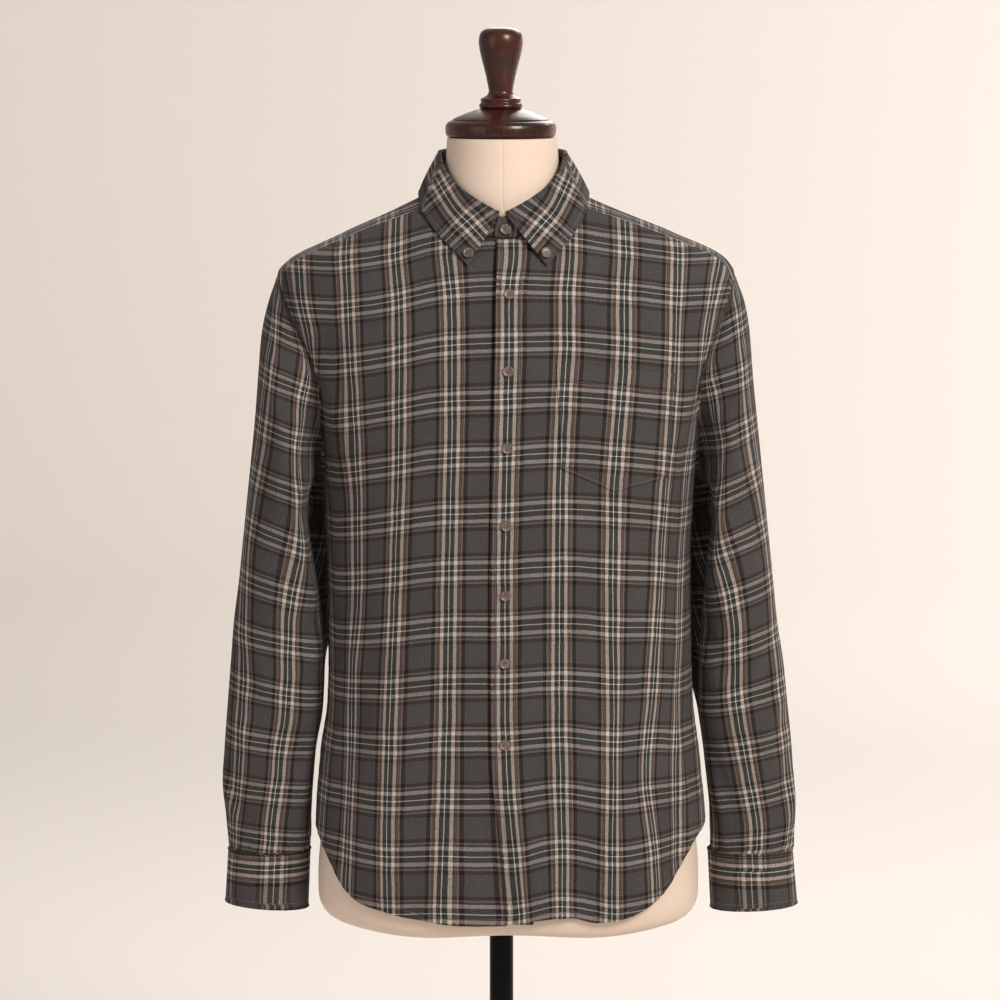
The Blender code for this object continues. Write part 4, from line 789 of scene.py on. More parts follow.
def cloth_piece(name, node, points, grain, thick, outward, edges=None,
                welded=False):
    """Lays a cut piece on its points, gives it its threads, its turned edges and its thickness."""
    points, grain = bordered(points, grain, edges or {})
    piece = lay_grid(name, points, grain=grain, welded=welded, outward=outward)
    pick(piece)
    body = piece.modifiers.new("cloth", "SOLIDIFY")
    body.thickness = thick
    body.offset = -1.0
    bpy.ops.object.modifier_apply(modifier="cloth")
    finished(piece, name, flannel_finish, "checked_flannel", node, smooth=62.0)
    return piece


# ======== fronts
# Two fronts, cut with the warp upright.  The wearer's left front laps over the right one and its
# hem swings out.  Side seams and armholes are felled; the tail hem is turned 7 mm and sewn.

HEM_STITCH = 0.0066       # from a hem's fold to its stitches
EDGE_STEP = 0.0011        # the panels' grids are this fine along their edges

SEAM_GAP = 0.0006
ARMHOLE_HEIGHT = (1.005, 1.213)       # underarm point and shoulder point
ARMHOLE_DEPTH = (0.50, 0.36, 0.48)    # as a share of the depth: upper and lower front, back
YOKE_SEAM_FRONT = 0.031               # the yoke's reach in front of the shoulder ridge
YOKE_SEAM_BACK = 1.204                # height of its seam at the centre back
BACK_SEAM_TURN = 50.0                 # where that meets the armhole, degrees from the shoulder
NECK_HALF, NECK_FRONT, NECK_BACK, NECK_SHIFT = 0.070, 0.080, 0.060, 0.0022      # neckline oval
YOKE_CORNER = 64.0                    # where round the neck the front yoke seam starts
SIDE_STEPS, ARM_STEPS, SEAM_STEPS, NECK_STEPS = 60, (44, 28, 36), 32, (16, 48)  # along seams
CHEST = 0.980                         # the armhole's rows start here at the centre front
YOKE_FAN = 0.23                       # share of the back seam beyond the neckline's corners
EDGE_ROLL, ROLL_WIDTH = 0.0026, 0.012 # how the lap's free edge lifts

HEM_COLUMNS = ("out", "front_right", "front_left", "back")
HEM = (
    (0.0, 0.5475, 0.55, 0.54), (0.2, 0.5468, 0.5545, 0.5405),
    (0.31, 0.5475, 0.5548, 0.5415), (0.42, 0.551, 0.549, 0.5435),
    (0.54, 0.5545, 0.551, 0.548), (0.66, 0.56, 0.56, 0.554),
    (0.77, 0.5665, 0.576, 0.564), (0.85, 0.58, 0.598, 0.578),
    (0.92, 0.604, 0.622, 0.601), (1.0, 0.633, 0.638, 0.633),
)
FRONT_EDGE_COLUMNS = ("z", "edge", "width")
FRONT_EDGE = (
    (0.5, 0.007, 0.027), (0.546, 0.0057, 0.027), (0.601, 0.0026, 0.027),
    (0.627, -0.0005, 0.0272), (0.66, -0.0035, 0.0285), (0.69, -0.0085, 0.03),
    (0.73, -0.0112, 0.0305), (0.887, -0.0118, 0.0305), (1.092, -0.0076, 0.0305),
    (1.245, -0.0046, 0.0305), (1.3, -0.004, 0.0305),
)
# Each soft fold of the body: girth from the centre front and height at one end, the same at the
# other end, half width, and how far it stands out (or lies in).
FOLDS = (
    (-0.190, 1.190, -0.196, 1.060, 0.018, 0.0035),     # breaks beside the armholes
    (0.185, 1.190, 0.192, 1.050, 0.018, 0.0035),
    (-0.024, 0.700, -0.014, 0.560, 0.013, -0.0045),    # placket swings forward at the hem
    (0.012, 0.690, 0.022, 0.540, 0.017, 0.0060),
    (0.066, 0.650, 0.072, 0.540, 0.018, -0.0045),
    (0.120, 0.700, 0.128, 0.540, 0.024, 0.0040),
    (-0.120, 0.960, -0.135, 0.560, 0.030, 0.0030),     # long soft folds down the fronts
    (-0.070, 0.860, -0.075, 0.600, 0.024, -0.0025),
    (0.095, 0.930, 0.100, 0.720, 0.026, -0.0025),
    (0.160, 0.900, 0.165, 0.640, 0.024, 0.0035),
    (0.210, 0.800, 0.200, 0.660, 0.020, -0.0030),
    (0.400, 1.080, 0.385, 0.640, 0.036, 0.0060),       # back, from the shoulder blades down
    (0.455, 1.060, 0.450, 0.620, 0.030, -0.0045),
    (-0.390, 1.060, -0.375, 0.620, 0.036, 0.0060),
    (-0.450, 1.040, -0.445, 0.640, 0.030, -0.0045),
    # finer creases, wherever the cloth is drawn by a seam or a button
    (-0.03, 1.185, -0.085, 1.205, 0.009, -0.001), (-0.028, 1.11, -0.075, 1.125, 0.009, 0.0009),
    (0.03, 1.19, 0.09, 1.215, 0.009, -0.0009), (-0.03, 1.03, -0.08, 1.022, 0.01, -0.0009),
    (-0.026, 0.955, -0.06, 0.94, 0.009, 0.001), (0.036, 0.9, 0.08, 0.915, 0.01, -0.001),
    (-0.03, 0.88, -0.072, 0.893, 0.009, -0.001), (0.034, 0.82, 0.07, 0.806, 0.01, 0.0009),
    (-0.024, 0.745, -0.07, 0.722, 0.011, 0.0012), (0.036, 0.745, 0.085, 0.76, 0.012, -0.0012),
    (0.14, 1.2, 0.178, 1.12, 0.01, -0.0012), (-0.15, 1.205, -0.18, 1.13, 0.01, -0.0013),
    (0.205, 1.12, 0.16, 1.02, 0.012, 0.0013), (-0.205, 1.12, -0.162, 1.01, 0.012, 0.0014),
    (0.215, 1.07, 0.185, 0.96, 0.011, -0.0015), (-0.214, 1.06, -0.186, 0.95, 0.011, -0.0015),
    (0.19, 0.84, 0.15, 0.77, 0.013, 0.0014), (-0.19, 0.86, -0.16, 0.78, 0.013, 0.0012),
    (0.176, 0.78, 0.17, 0.6, 0.01, -0.0022), (0.192, 0.76, 0.188, 0.62, 0.009, 0.0016),
    (-0.17, 0.79, -0.176, 0.61, 0.01, -0.0016), (-0.196, 0.77, -0.2, 0.63, 0.01, 0.0014),
    (0.09, 0.64, 0.1, 0.552, 0.008, 0.0014), (0.045, 0.64, 0.05, 0.548, 0.009, 0.0016),
    (-0.06, 0.64, -0.056, 0.548, 0.009, 0.0012), (-0.092, 0.62, -0.09, 0.55, 0.008, -0.0012),
    (0.3, 1.17, 0.33, 1.04, 0.014, -0.0018), (-0.3, 1.16, -0.335, 1.03, 0.014, -0.0016),
    (0.345, 1.0, 0.33, 0.76, 0.014, 0.0016), (-0.35, 0.98, -0.33, 0.74, 0.014, 0.0018),
    (0.47, 0.98, 0.48, 0.72, 0.014, 0.002), (-0.4, 0.84, -0.42, 0.64, 0.012, -0.0016),
    (0.26, 1.0, 0.255, 0.7, 0.013, 0.0018), (-0.262, 1.01, -0.258, 0.72, 0.013, 0.0016),
)
HEM_LINE = tracks(HEM_COLUMNS, HEM)
EDGE_LINE = tracks(FRONT_EDGE_COLUMNS, FRONT_EDGE)


def crease(across, z, fold):
    """Lift of one soft fold, highest at the middle of its line."""
    a0, z0, a1, z1, width, rise = fold
    run_a, run_z = a1 - a0, z1 - z0
    near = np.clip(((across - a0) * run_a + (z - z0) * run_z) / (run_a ** 2 + run_z ** 2), 0.0, 1.0)
    away = np.hypot(across - a0 - near * run_a, z - z0 - near * run_z)
    return rise * np.exp(-(away / width) ** 2) * (0.45 + 0.55 * np.sin(math.pi * near))


def fold_height(turn, z):
    """How far the folds lift the cloth at a turn round the body and a height."""
    turn = (np.asarray(turn, float) + math.pi) % (2 * math.pi) - math.pi
    girth = np.interp(turn, GIRTH_TURNS, CHEST_RUN)
    return sum(crease(girth, np.asarray(z), fold) for fold in FOLDS)


def body_point(turn, z, out=0.0):
    """Outer face of the shirt's body, moved out along its normal."""
    turn, z = np.broadcast_arrays(np.asarray(turn, float), np.asarray(z, float))
    lift = fold_height(turn, z) + out
    return section_point(SHIRT_SKIN, turn, z) + lift[..., None] * skin_normal(SHIRT_SKIN, turn, z)


def armhole(side, around):
    """Turn and height of the armhole: around is 0 at the shoulder and 180 degrees below."""
    low, high = ARMHOLE_HEIGHT
    z = (low + high) / 2 + (high - low) / 2 * np.cos(around)
    ahead = np.sin(around)
    front = ARMHOLE_DEPTH[0] + (ARMHOLE_DEPTH[1] - ARMHOLE_DEPTH[0]) * smooth_step(
        math.radians(55), math.radians(125), np.abs(around))
    pointed = 1.0 + 0.7 * smooth_step(math.radians(95), math.radians(150), np.abs(around))
    depth = np.where(ahead > 0, front, ARMHOLE_DEPTH[2]) * np.abs(ahead) ** pointed
    power = SHIRT_SKIN["power"](z)
    across = (1.0 - depth ** power) ** (1.0 / power)
    return side * np.arctan2(across, np.sign(ahead) * depth), z


def armhole_stops(side):
    """Angles of the armhole's points: up the front, over the yoke and down the back."""
    meet = float(halve(0.0, math.radians(80),
                       lambda a: -body_point(*armhole(side, a))[..., 1] < YOKE_SEAM_FRONT))
    back = -math.radians(BACK_SEAM_TURN)
    front, over, rear = ARM_STEPS
    return (np.linspace(math.pi, meet, front + 1), np.linspace(meet, back, over + 1),
            np.linspace(back, -math.pi, rear + 1))


def neckline(around):
    """Plan position and height of the neckline, around is 0 at the centre front."""
    long_way = np.where(np.cos(around) > 0, NECK_FRONT, NECK_BACK)
    x = NECK_SHIFT + NECK_HALF * np.sin(around)
    y = -long_way * np.cos(around)
    return x, y, height_over(x, y)


def neck_edge(around):
    """The neckline as turn and height on the skin."""
    x, y, z = neckline(np.asarray(around, float))
    return np.stack([turn_of(x, y, z), z], -1)


def front_seam(side):
    """Front yoke seam from the neckline to the armhole, as turn and height."""
    x0, y0, _ = neckline(np.asarray(side * math.radians(YOKE_CORNER)))
    x1, y1, _ = section_point(SHIRT_SKIN, *armhole(side, armhole_stops(side)[0][-1]))
    share = np.linspace(0.0, 1.0, SEAM_STEPS + 1)
    x, y = x0 + (x1 - x0) * share, y0 + (y1 - y0) * share
    z = height_over(x, y)
    line = np.stack([turn_of(x, y, z), z], -1)
    line[-1] = armhole(side, armhole_stops(side)[0][-1])
    return line


def shifted(line, gap):
    """A line on the skin moved sideways within the skin, to the left of its run."""
    points = section_point(SHIRT_SKIN, line[:, 0], line[:, 1])
    run = unit(np.gradient(points, axis=0))
    moved = points + gap * np.cross(skin_normal(SHIRT_SKIN, line[:, 0], line[:, 1]), run)
    turn = turn_of(moved[:, 0], moved[:, 1], moved[:, 2])
    turn = turn + 2 * math.pi * np.round((line[:, 0] - turn) / (2 * math.pi))
    return np.stack([turn, moved[:, 2]], -1)


def patch(bottom, top, start, end, hold=1.0):
    """Coons patch between four edges of points.  bottom and top run from start to end, and
    start and end run upwards.  A higher hold keeps the top edge's shape nearer the top."""
    u = np.linspace(0.0, 1.0, len(bottom))[None, :, None]
    v = np.linspace(0.0, 1.0, len(start))[:, None, None]
    low_curve = bottom[None] - (1 - u) * bottom[0] - u * bottom[-1]
    high_curve = top[None] - (1 - u) * top[0] - u * top[-1]
    across = (1 - u) * start[:, None] + u * end[:, None]
    blend = across + (1 - v) * low_curve + v ** hold * high_curve
    return [blend[..., k] for k in range(blend.shape[-1])]


def body_patch(*edges):
    """Coons patch between four lines on the skin, carried back onto the skin."""
    edges = [section_point(SHIRT_SKIN, line[:, 0], line[:, 1]) for line in edges]
    x, y, z = patch(*edges, hold=3.0)
    return turn_of(x, y, z), z


def hem_height(turn, where):
    power = SHIRT_SKIN["power"](0.56)
    side, ahead = np.abs(np.sin(turn)), np.abs(np.cos(turn))
    share = side * (side ** power + ahead ** power) ** (-1.0 / power)
    return HEM_LINE[where](share)


def lap_line(share):
    """The centre lap from hem to neckline: share 0 is the left front's free edge and 1 the far
    side of the placket.  Every layer of the lap uses these points."""
    low, high = float(HEM_LINE["front_left"](0.0)), 1.2505
    for _ in range(3):
        x = float(EDGE_LINE["edge"](high) + share * EDGE_LINE["width"](high))
        high = float(neckline(np.arcsin((x - NECK_SHIFT) / NECK_HALF))[2])
    z = np.concatenate([np.linspace(low, CHEST, SIDE_STEPS + 1)[:-1],
                        np.linspace(CHEST, high, ARM_STEPS[0] + 1)])
    return np.stack([turn_at(EDGE_LINE["edge"](z) + share * EDGE_LINE["width"](z), z), z], -1)


def left_front_out(turn, z):
    """The left front is moved out over the underlap and comes back to the skin past it.  Its free
    edge rolls up a little between the upper buttons."""
    inside = section_point(SHIRT_SKIN, turn, z)[..., 0] - EDGE_LINE["edge"](z)
    rolled = EDGE_ROLL * np.clip(1.0 - inside / ROLL_WIDTH, 0.0, 1.0) ** 1.6
    rolled = rolled * smooth_step(0.98, 1.09, z) * smooth_step(-1.250, -1.225, -z)
    return LAP * (1.0 - smooth_step(0.003, 0.022, inside - EDGE_LINE["width"](z))) + rolled


def front_grid(side):
    """Turn and height over one front, from its centre edge to the side seam and armhole."""
    gap = 0.5 * SEAM_GAP * side
    where = "front_left" if side > 0 else "front_right"
    start = lap_line(1.0 if side > 0 else 0.0)
    arm = np.stack(armhole(side, armhole_stops(side)[0]), -1)
    hem_end = float(hem_height(math.pi / 2, where))
    seam_z = np.linspace(hem_end, ARMHOLE_HEIGHT[0], SIDE_STEPS + 1)[:-1]
    raw_end = np.concatenate([np.stack([np.full(seam_z.shape, side * math.pi / 2), seam_z], -1), arm])
    end = shifted(raw_end, gap)
    hem_turns = np.linspace(start[0, 0], end[0, 0], NECK_STEPS[0] + SEAM_STEPS + 1)
    bottom = np.stack([hem_turns, hem_height(hem_turns, where)], -1)
    start_x = section_point(SHIRT_SKIN, *start[-1])[0]
    from_centre = math.asin((start_x - NECK_SHIFT) / NECK_HALF)
    neck = neck_edge(np.linspace(from_centre, side * math.radians(YOKE_CORNER), NECK_STEPS[0] + 1))
    raw_seam = front_seam(side)
    seam = shifted(raw_seam, -gap)
    top = np.concatenate([neck[:-1], seam])
    top[-1] = seam[-1] + end[-1] - raw_seam[-1]
    top[0] = start[-1]
    start[0, 1], end[0] = bottom[0, 1], bottom[-1]
    end[-1] = top[-1]
    return body_patch(bottom, top, start, end)


# Where the stripe groups lie on the worn fronts, in millimetres: the height of each row of the
# table, then the distance of each upright group from the middle plane, the wearer's right first.
# The group on the placket is number 0.
UPRIGHT_COLUMNS = ("z", -4, -3, -2, -1, 0, 1, 2, 3, 4)
UPRIGHT = (
    (560, -194, -163, -117.5, -63.0, 18.5, 62.4, 113.9, 162, 186),
    (620, -190, -160.5, -118.4, -61.0, 13.0, 62.4, 114, 158, 181),
    (700, -183, -157.5, -116.5, -58.0, 6.0, 60.7, 115.4, 148.5, 181),
    (780, -177.4, -155.5, -113.5, -56.0, 3.6, 59.1, 116.4, 153.5, 182.8),
    (905, -180, -148, -108.8, -53.8, 3.6, 59.4, 114.5, 163, 185.4),
    (980, -183, -148, -106.5, -52.3, 4.6, 59.7, 114.5, 168, 190),
    (1085, -190, -152.3, -104.5, -50.4, 6.6, 63.1, 121, 175, 201),
    (1150, -196, -156, -104.4, -50.4, 7.6, 66.6, 125, 179, 208),
    (1190, -205, -157.5, -105, -51.0, 7.6, 66.7, 125, 180, 216),
    (1237, -211, -160, -109, -56.0, 12.8, 70.0, 127.6, 181.6, 228),
)
# The level groups, top first: the group's number, then its height at each distance of the
# header from the middle plane, all in millimetres.
LEVEL_COLUMNS = ("group", -171, -119, -57.5, -1.5, 59.5, 121, 152, 183)
LEVEL = (
    (0, 1229, 1237, 1252, 1256, 1255, 1246, 1242, 1237),
    (-1, 1182, 1190, 1203.5, 1207.5, 1208, 1203, 1199.5, 1195),
    (-3, 1068, 1079, 1090.5, 1093, 1095.5, 1090, 1086, 1081.5),
    (-5, 953.5, 964.5, 974.5, 977, 980.5, 976, 971.5, 964),
    (-7, 841, 849.5, 858, 859.5, 862, 856, 854, 847.5),
    (-9, 731, 732.5, 739, 740.5, 743.5, 737, 738, 733),
    (-11, 622, 617, 619.5, 618.5, 627.5, 618, 621.5, 626.5),
)
MM = 0.001
UPRIGHT_LINES = [Track([row[0] * MM for row in UPRIGHT], [row[k] * MM for row in UPRIGHT])
                 for k in range(1, len(UPRIGHT_COLUMNS))]
UPRIGHT_STEPS = [PITCH * group for group in UPRIGHT_COLUMNS[1:]]
LEVEL_LINES = [Track([x * MM for x in LEVEL_COLUMNS[1:]], [z * MM for z in row[1:]])
               for row in LEVEL[::-1]]
LEVEL_STEPS = [PITCH * row[0] for row in LEVEL[::-1]]


def piecewise(value, marks, steps):
    """Reads off a scale whose marks lie unevenly; past its ends it runs on at full size."""
    total = np.zeros_like(value) + steps[0]
    total = total + np.minimum(value - marks[0], 0.0)
    for low, high, a, b in zip(marks, marks[1:], steps, steps[1:]):
        total = total + (b - a) * np.clip((value - low) / (high - low), 0.0, 1.0)
    return total + np.maximum(value - marks[-1], 0.0)


def front_grain(turn, z):
    """Across and up the cloth of the fronts, in metres, with a stripe group at each repeat."""
    x = section_point(SHIRT_SKIN, turn, z)[..., 0]
    marks = [girth_at(turn_at(line(z), z), z) for line in UPRIGHT_LINES]
    across = piecewise(girth_at(turn, z), marks, UPRIGHT_STEPS)
    plumb = piecewise(x, [line(z) for line in UPRIGHT_LINES], UPRIGHT_STEPS)
    across = across + smooth_step(1.165, 1.215, z) * (plumb - across)      # over the shoulders
    return np.stack([across, piecewise(z, [line(x) for line in LEVEL_LINES], LEVEL_STEPS)], -1)


def outward_from_body(point):
    return from_middle(point) + np.array([0.0, 0.0, 0.02])


for side, name in ((-1, "front_right"), (1, "front_left")):
    turn, z = front_grid(side)
    strip = np.stack([lap_line(share) for share in (np.linspace(0.97, 0.08, 8) if side < 0 else
                                                    np.linspace(0.0, 0.92, 8))], 1)
    turn = np.concatenate([strip[..., 0], turn], axis=1)
    z = np.concatenate([strip[..., 1], z], axis=1)
    base = section_point(SHIRT_SKIN, turn, z)
    rows = close_to(0.70, EDGE_STEP, 0.0032, 0.010, 0.006)
    columns = close_to(0.31, EDGE_STEP, 0.0030, 0.004, 0.008)
    turn, z = resampled(base, (turn, z), rows, columns)
    out = left_front_out(turn, z) if side > 0 else 0.0
    points = body_point(turn, z, out)
    points = sewn(points, outward_from_body, {
        "first_row": ((HEM_STITCH,), 0.012, 0.00050, 0.019),
        "last_column": ((), 0.010, 0.00045, 0.016),
        "last_row": ((), 0.008, 0.00030, 0.014)}, run="hem_" + name)
    cloth_piece(name + "_panel", name, points, front_grain(turn, z), CLOTH, outward_from_body,
                {"first_row": "free", "last_row": "seam", "last_column": "seam"})

# ======== back
# One back panel hangs from the yoke seam.  It is cut with the warp upright as well, and its tail
# hem is sewn like the fronts'.


def back_seam():
    """Back yoke seam from the right armhole to the left one, as turn and height."""
    ends = [armhole(side, np.asarray(-math.radians(BACK_SEAM_TURN))) for side in (-1, 1)]
    x = [float(section_point(SHIRT_SKIN, *end)[0]) for end in ends]
    share = np.concatenate([np.linspace(0.0, YOKE_FAN, SEAM_STEPS + 1),
                            np.linspace(YOKE_FAN, 1 - YOKE_FAN, NECK_STEPS[1] + 1)[1:-1],
                            np.linspace(1 - YOKE_FAN, 1.0, SEAM_STEPS + 1)])
    drop = YOKE_SEAM_BACK - float(ends[0][1])
    z = YOKE_SEAM_BACK - drop * (2 * share - 1) ** 2
    across = x[0] + (x[1] - x[0]) * share
    turn = turn_at(across, z, back=True)
    turn[0], turn[-1] = ends[0][0], ends[1][0]
    return np.stack([turn, z], -1)


def back_grid():
    """Turn and height over the back, from the wearer's left side seam round to the right one."""
    gap = 0.5 * SEAM_GAP
    edges = []
    for side in (1, -1):
        arm = np.stack(armhole(side, armhole_stops(side)[2][::-1]), -1)
        arm[:, 0] += 2 * math.pi if side < 0 else 0.0
        foot = math.pi / 2 if side > 0 else 1.5 * math.pi
        arm[0, 0] = foot
        seam_z = np.linspace(float(hem_height(foot, "back")), ARMHOLE_HEIGHT[0], SIDE_STEPS + 1)[:-1]
        line = np.concatenate([np.stack([np.full(seam_z.shape, foot), seam_z], -1), arm])
        edges.append((line, shifted(line, -gap * side)))
    seam = back_seam()[::-1]
    seam[:, 0] %= 2 * math.pi
    top = shifted(seam, -gap)
    (raw_start, start), (raw_end, end) = edges
    top[0] += start[-1] - raw_start[-1]
    top[-1] += end[-1] - raw_end[-1]
    hem_turns = np.linspace(start[0, 0], end[0, 0], len(top))
    bottom = np.stack([hem_turns, hem_height(hem_turns, "back")], -1)
    start[0], end[0], start[-1], end[-1] = bottom[0], bottom[-1], top[0], top[-1]
    return body_patch(bottom, top, start, end)


def back_grain(turn, z):
    """Across and up the cloth of the back, with a stripe group down its middle."""
    wrapped = np.asarray(turn) % (2 * math.pi)
    side = np.where(wrapped < math.pi, 1.0, -1.0)
    across = girth_at(side * (math.pi - 1e-6), z) - girth_at(turn, z)
    x = section_point(SHIRT_SKIN, turn, z)[..., 0]
    right, left = LEVEL_COLUMNS[1] * MM, LEVEL_COLUMNS[-1] * MM
    marks = [line(right) + (line(left) - line(right)) * (x - right) / (left - right)
             for line in LEVEL_LINES]
    return np.stack([across, piecewise(z, marks, LEVEL_STEPS)], -1)


turn, z = back_grid()
turn = np.where(turn < 0, turn + 2 * math.pi, turn)
base = section_point(SHIRT_SKIN, turn, z)
turn, z = resampled(base, (turn, z), close_to(0.66, EDGE_STEP, 0.0033, 0.010, 0.006),
                    close_to(0.47, EDGE_STEP, 0.0032, 0.006, 0.006))
points = sewn(body_point(turn, z), outward_from_body, {
    "first_row": ((HEM_STITCH,), 0.012, 0.00050, 0.021),
    "last_row": ((), 0.012, 0.00040, 0.017),
    "first_column": ((), 0.010, 0.00045, 0.017),
    "last_column": ((), 0.010, 0.00045, 0.016)}, run="hem_back")
cloth_piece("back_panel", "back", points, back_grain(turn, z), CLOTH, outward_from_body,
            {**dict.fromkeys(SIDES, "seam"), "first_row": "free"})

# ======== yoke
# The yoke goes over both shoulders in one piece.  It is cut with the warp from shoulder to
# shoulder, and topstitched 1.5 mm inside its front and back seams.

SHOULDER_WRAP = (1.170, 0.80, 3.64)
YOKE_DEPTH = 0.2075
YOKE_PULL = 0.045         # and is drawn out by no more than this at the shoulder points
YOKE_STITCH = 0.0016


def wrap_point(spread, lean):
    """Turn and height of the skin on a ray that leaves the shoulder axis at a lean.  Rays
    further along the axis spread further outwards."""
    axis, near, widen = SHOULDER_WRAP
    spread, lean = np.broadcast_arrays(np.asarray(spread, float), np.asarray(lean, float))
    reach = halve(np.zeros(lean.shape), np.full(lean.shape, 0.16),
                  lambda r: outside(spread * (near + widen * r), r * np.sin(lean),
                                    axis + r * np.cos(lean)) < 1.0)
    x, y, z = spread * (near + widen * reach), reach * np.sin(lean), axis + reach * np.cos(lean)
    return turn_of(x, y, z), z


def on_shoulder(line):
    """Skin points as spread along the shoulder axis and lean round it."""
    axis, near, widen = SHOULDER_WRAP
    x, y, z = section_point(SHIRT_SKIN, line[:, 0], line[:, 1]).T
    return np.stack([x / (near + widen * np.hypot(y, z - axis)), np.arctan2(y, z - axis)], -1)


def yoke_grid():
    gap = 0.5 * SEAM_GAP
    raw_seams = [front_seam(side) for side in (-1, 1)]
    seams = [shifted(raw_seams[0][::-1], gap), shifted(raw_seams[1], gap)]
    corner = math.radians(YOKE_CORNER)
    neck = neck_edge(np.linspace(2 * math.pi - corner, corner, NECK_STEPS[1] + 1))[1:-1]
    near = np.concatenate([seams[0], neck, seams[1]])
    far = shifted(back_seam(), -gap)
    ends = []
    for side in (-1, 1):
        raw = np.stack(armhole(side, armhole_stops(side)[1]), -1)
        moved = shifted(raw, gap * side)
        spot = 0 if side < 0 else -1
        near[spot] += moved[0] - raw[0]
        far[spot] += moved[-1] - raw[-1]
        moved[0], moved[-1] = near[spot], far[spot]
        ends.append(moved)
    return patch(on_shoulder(near), on_shoulder(far), on_shoulder(ends[0]), on_shoulder(ends[1]))


def outward_from_shoulder(point):
    return np.array([0.4 * (point[0] - 0.004), point[1], 0.4 * (point[2] - 1.10)])


spread, lean = yoke_grid()
turn, z = wrap_point(spread, lean)
base = section_point(SHIRT_SKIN, turn, z)
spread, lean = resampled(base, (spread, lean), close_to(0.155, EDGE_STEP, 0.0028, 0.006, 0.006),
                         close_to(0.44, EDGE_STEP, 0.0028, 0.005, 0.005))
turn, z = wrap_point(spread, lean)
points = body_point(turn, z)
axis = SHOULDER_WRAP[0]
near_arm = slice(0, spread.shape[1] // 5)
order = np.argsort(np.abs(spread[0, near_arm]))
seam_lean = np.interp(np.abs(spread), np.abs(spread[0, near_arm])[order], lean[0, near_arm][order])
reach = np.hypot(points[..., 1], points[..., 2] - axis)
run = reach * (lean - seam_lean)
run = run + smooth_step(0.2, 0.95, run / run[-1:]) * np.minimum(YOKE_DEPTH - run[-1:], YOKE_PULL)
grain = np.stack([run - 0.0095, points[..., 0] * 1.10 + 0.012], -1)
points = sewn(points, outward_from_shoulder, {
    "first_row": ((YOKE_STITCH,), 0.010, 0.00030, 0.013),
    "last_row": ((YOKE_STITCH,), 0.010, 0.00030, 0.015),
    "first_column": ((), 0.010, 0.00040, 0.014),
    "last_column": ((), 0.010, 0.00040, 0.015)}, run="yoke")
cloth_piece("yoke_panel", "yoke", points, grain, CLOTH, outward_from_shoulder,
            dict.fromkeys(SIDES, "seam"))

# ======== placket
# A separate 30 mm strip on the left front, its warp group centred, topstitched down both edges.
# It stands one cloth over the front, and its free edge laps the right front.

PLACKET_STITCH = 0.0055
strip = np.stack([lap_line(part) for part in np.linspace(0.0, 1.0, 15)], 1)
turn, z = strip[..., 0], strip[..., 1]
base = section_point(SHIRT_SKIN, turn, z)
turn, z = resampled(base, (turn, z), close_to(0.70, EDGE_STEP, 0.0028, 0.010, 0.004),
                    close_to(0.030, 0.0009, 0.0022, 0.002, 0.002))
points = body_point(turn, z, left_front_out(turn, z) + LAP)
points = sewn(points, outward_from_body, {
    "first_row": ((HEM_STITCH,), 0.010, 0.00030, 0.017),
    "first_column": ((PLACKET_STITCH,), 0.0045, 0.00028, 0.012),
    "last_column": ((PLACKET_STITCH,), 0.0045, 0.00028, 0.011)}, run="placket")
cloth_piece("placket_strip", "placket", points, front_grain(turn, z), CLOTH, outward_from_body,
            {**dict.fromkeys(SIDES, "free"), "last_row": "seam"})

# It is topstitched 2 mm inside its sides and foot.

POCKET_TOP = ((0.0564, 1.1310), (0.1765, 1.1165))
POCKET_FOOT = ((0.0610, 1.0225), (0.1690, 1.0095))
POCKET_POINT = (0.1150, 0.9984)
POCKET_STITCH = 0.0020
POCKET_HEM = 0.0180


def pocket_place(across, up):
    foot_x = POCKET_FOOT[0][0] + (POCKET_FOOT[1][0] - POCKET_FOOT[0][0]) * across
    foot_z = POCKET_FOOT[0][1] + (POCKET_FOOT[1][1] - POCKET_FOOT[0][1]) * across
    drop = (POCKET_FOOT[0][1] + POCKET_FOOT[1][1]) / 2 - POCKET_POINT[1]
    foot_z = foot_z - drop * (1 - np.abs(2 * across - 1))
    top_x = POCKET_TOP[0][0] + (POCKET_TOP[1][0] - POCKET_TOP[0][0]) * across
    top_z = POCKET_TOP[0][1] + (POCKET_TOP[1][1] - POCKET_TOP[0][1]) * across
    return foot_x + (top_x - foot_x) * up, foot_z + (top_z - foot_z) * up


across = close_to(0.120, 0.0009, 0.0026, 0.004, 0.004)
half = np.argmin(np.abs(across - 0.5))
across[half] = 0.5
up = close_to(0.118, 0.0009, 0.0026, 0.004, 0.004)
x, z = pocket_place(across[None, :], up[:, None])
turn = turn_at(x, z)
points = body_point(turn, z, left_front_out(turn, z) + LAP + 0.0001)
mouth = np.exp(-((1.0 - up) / 0.10))[:, None] * np.sin(math.pi * across)[None, :]
points = points + (0.0010 * mouth)[..., None] * facing_of(points, outward_from_body)
points = sewn(points, outward_from_body, {
    "first_row": ((POCKET_STITCH,), 0.006, 0.00030, 0.014),
    "first_column": ((POCKET_STITCH,), 0.006, 0.00030, 0.013),
    "last_column": ((POCKET_STITCH,), 0.006, 0.00030, 0.015),
    "last_row": ((POCKET_HEM,), 0.004, 0.00020, 0.020)}, run="pocket")
cloth_piece("patch_pocket", "pocket", points, front_grain(turn, z) + np.array([0.0004, -0.0006]), CLOTH,
            outward_from_body,
            dict.fromkeys(SIDES, "free"))

# ======== sleeves
# One-piece sleeves, seamed under the arm and eased into the armhole.  They hang empty beside the
# body, a little flattened, with soft folds at the elbow and small pleats into the cuff.

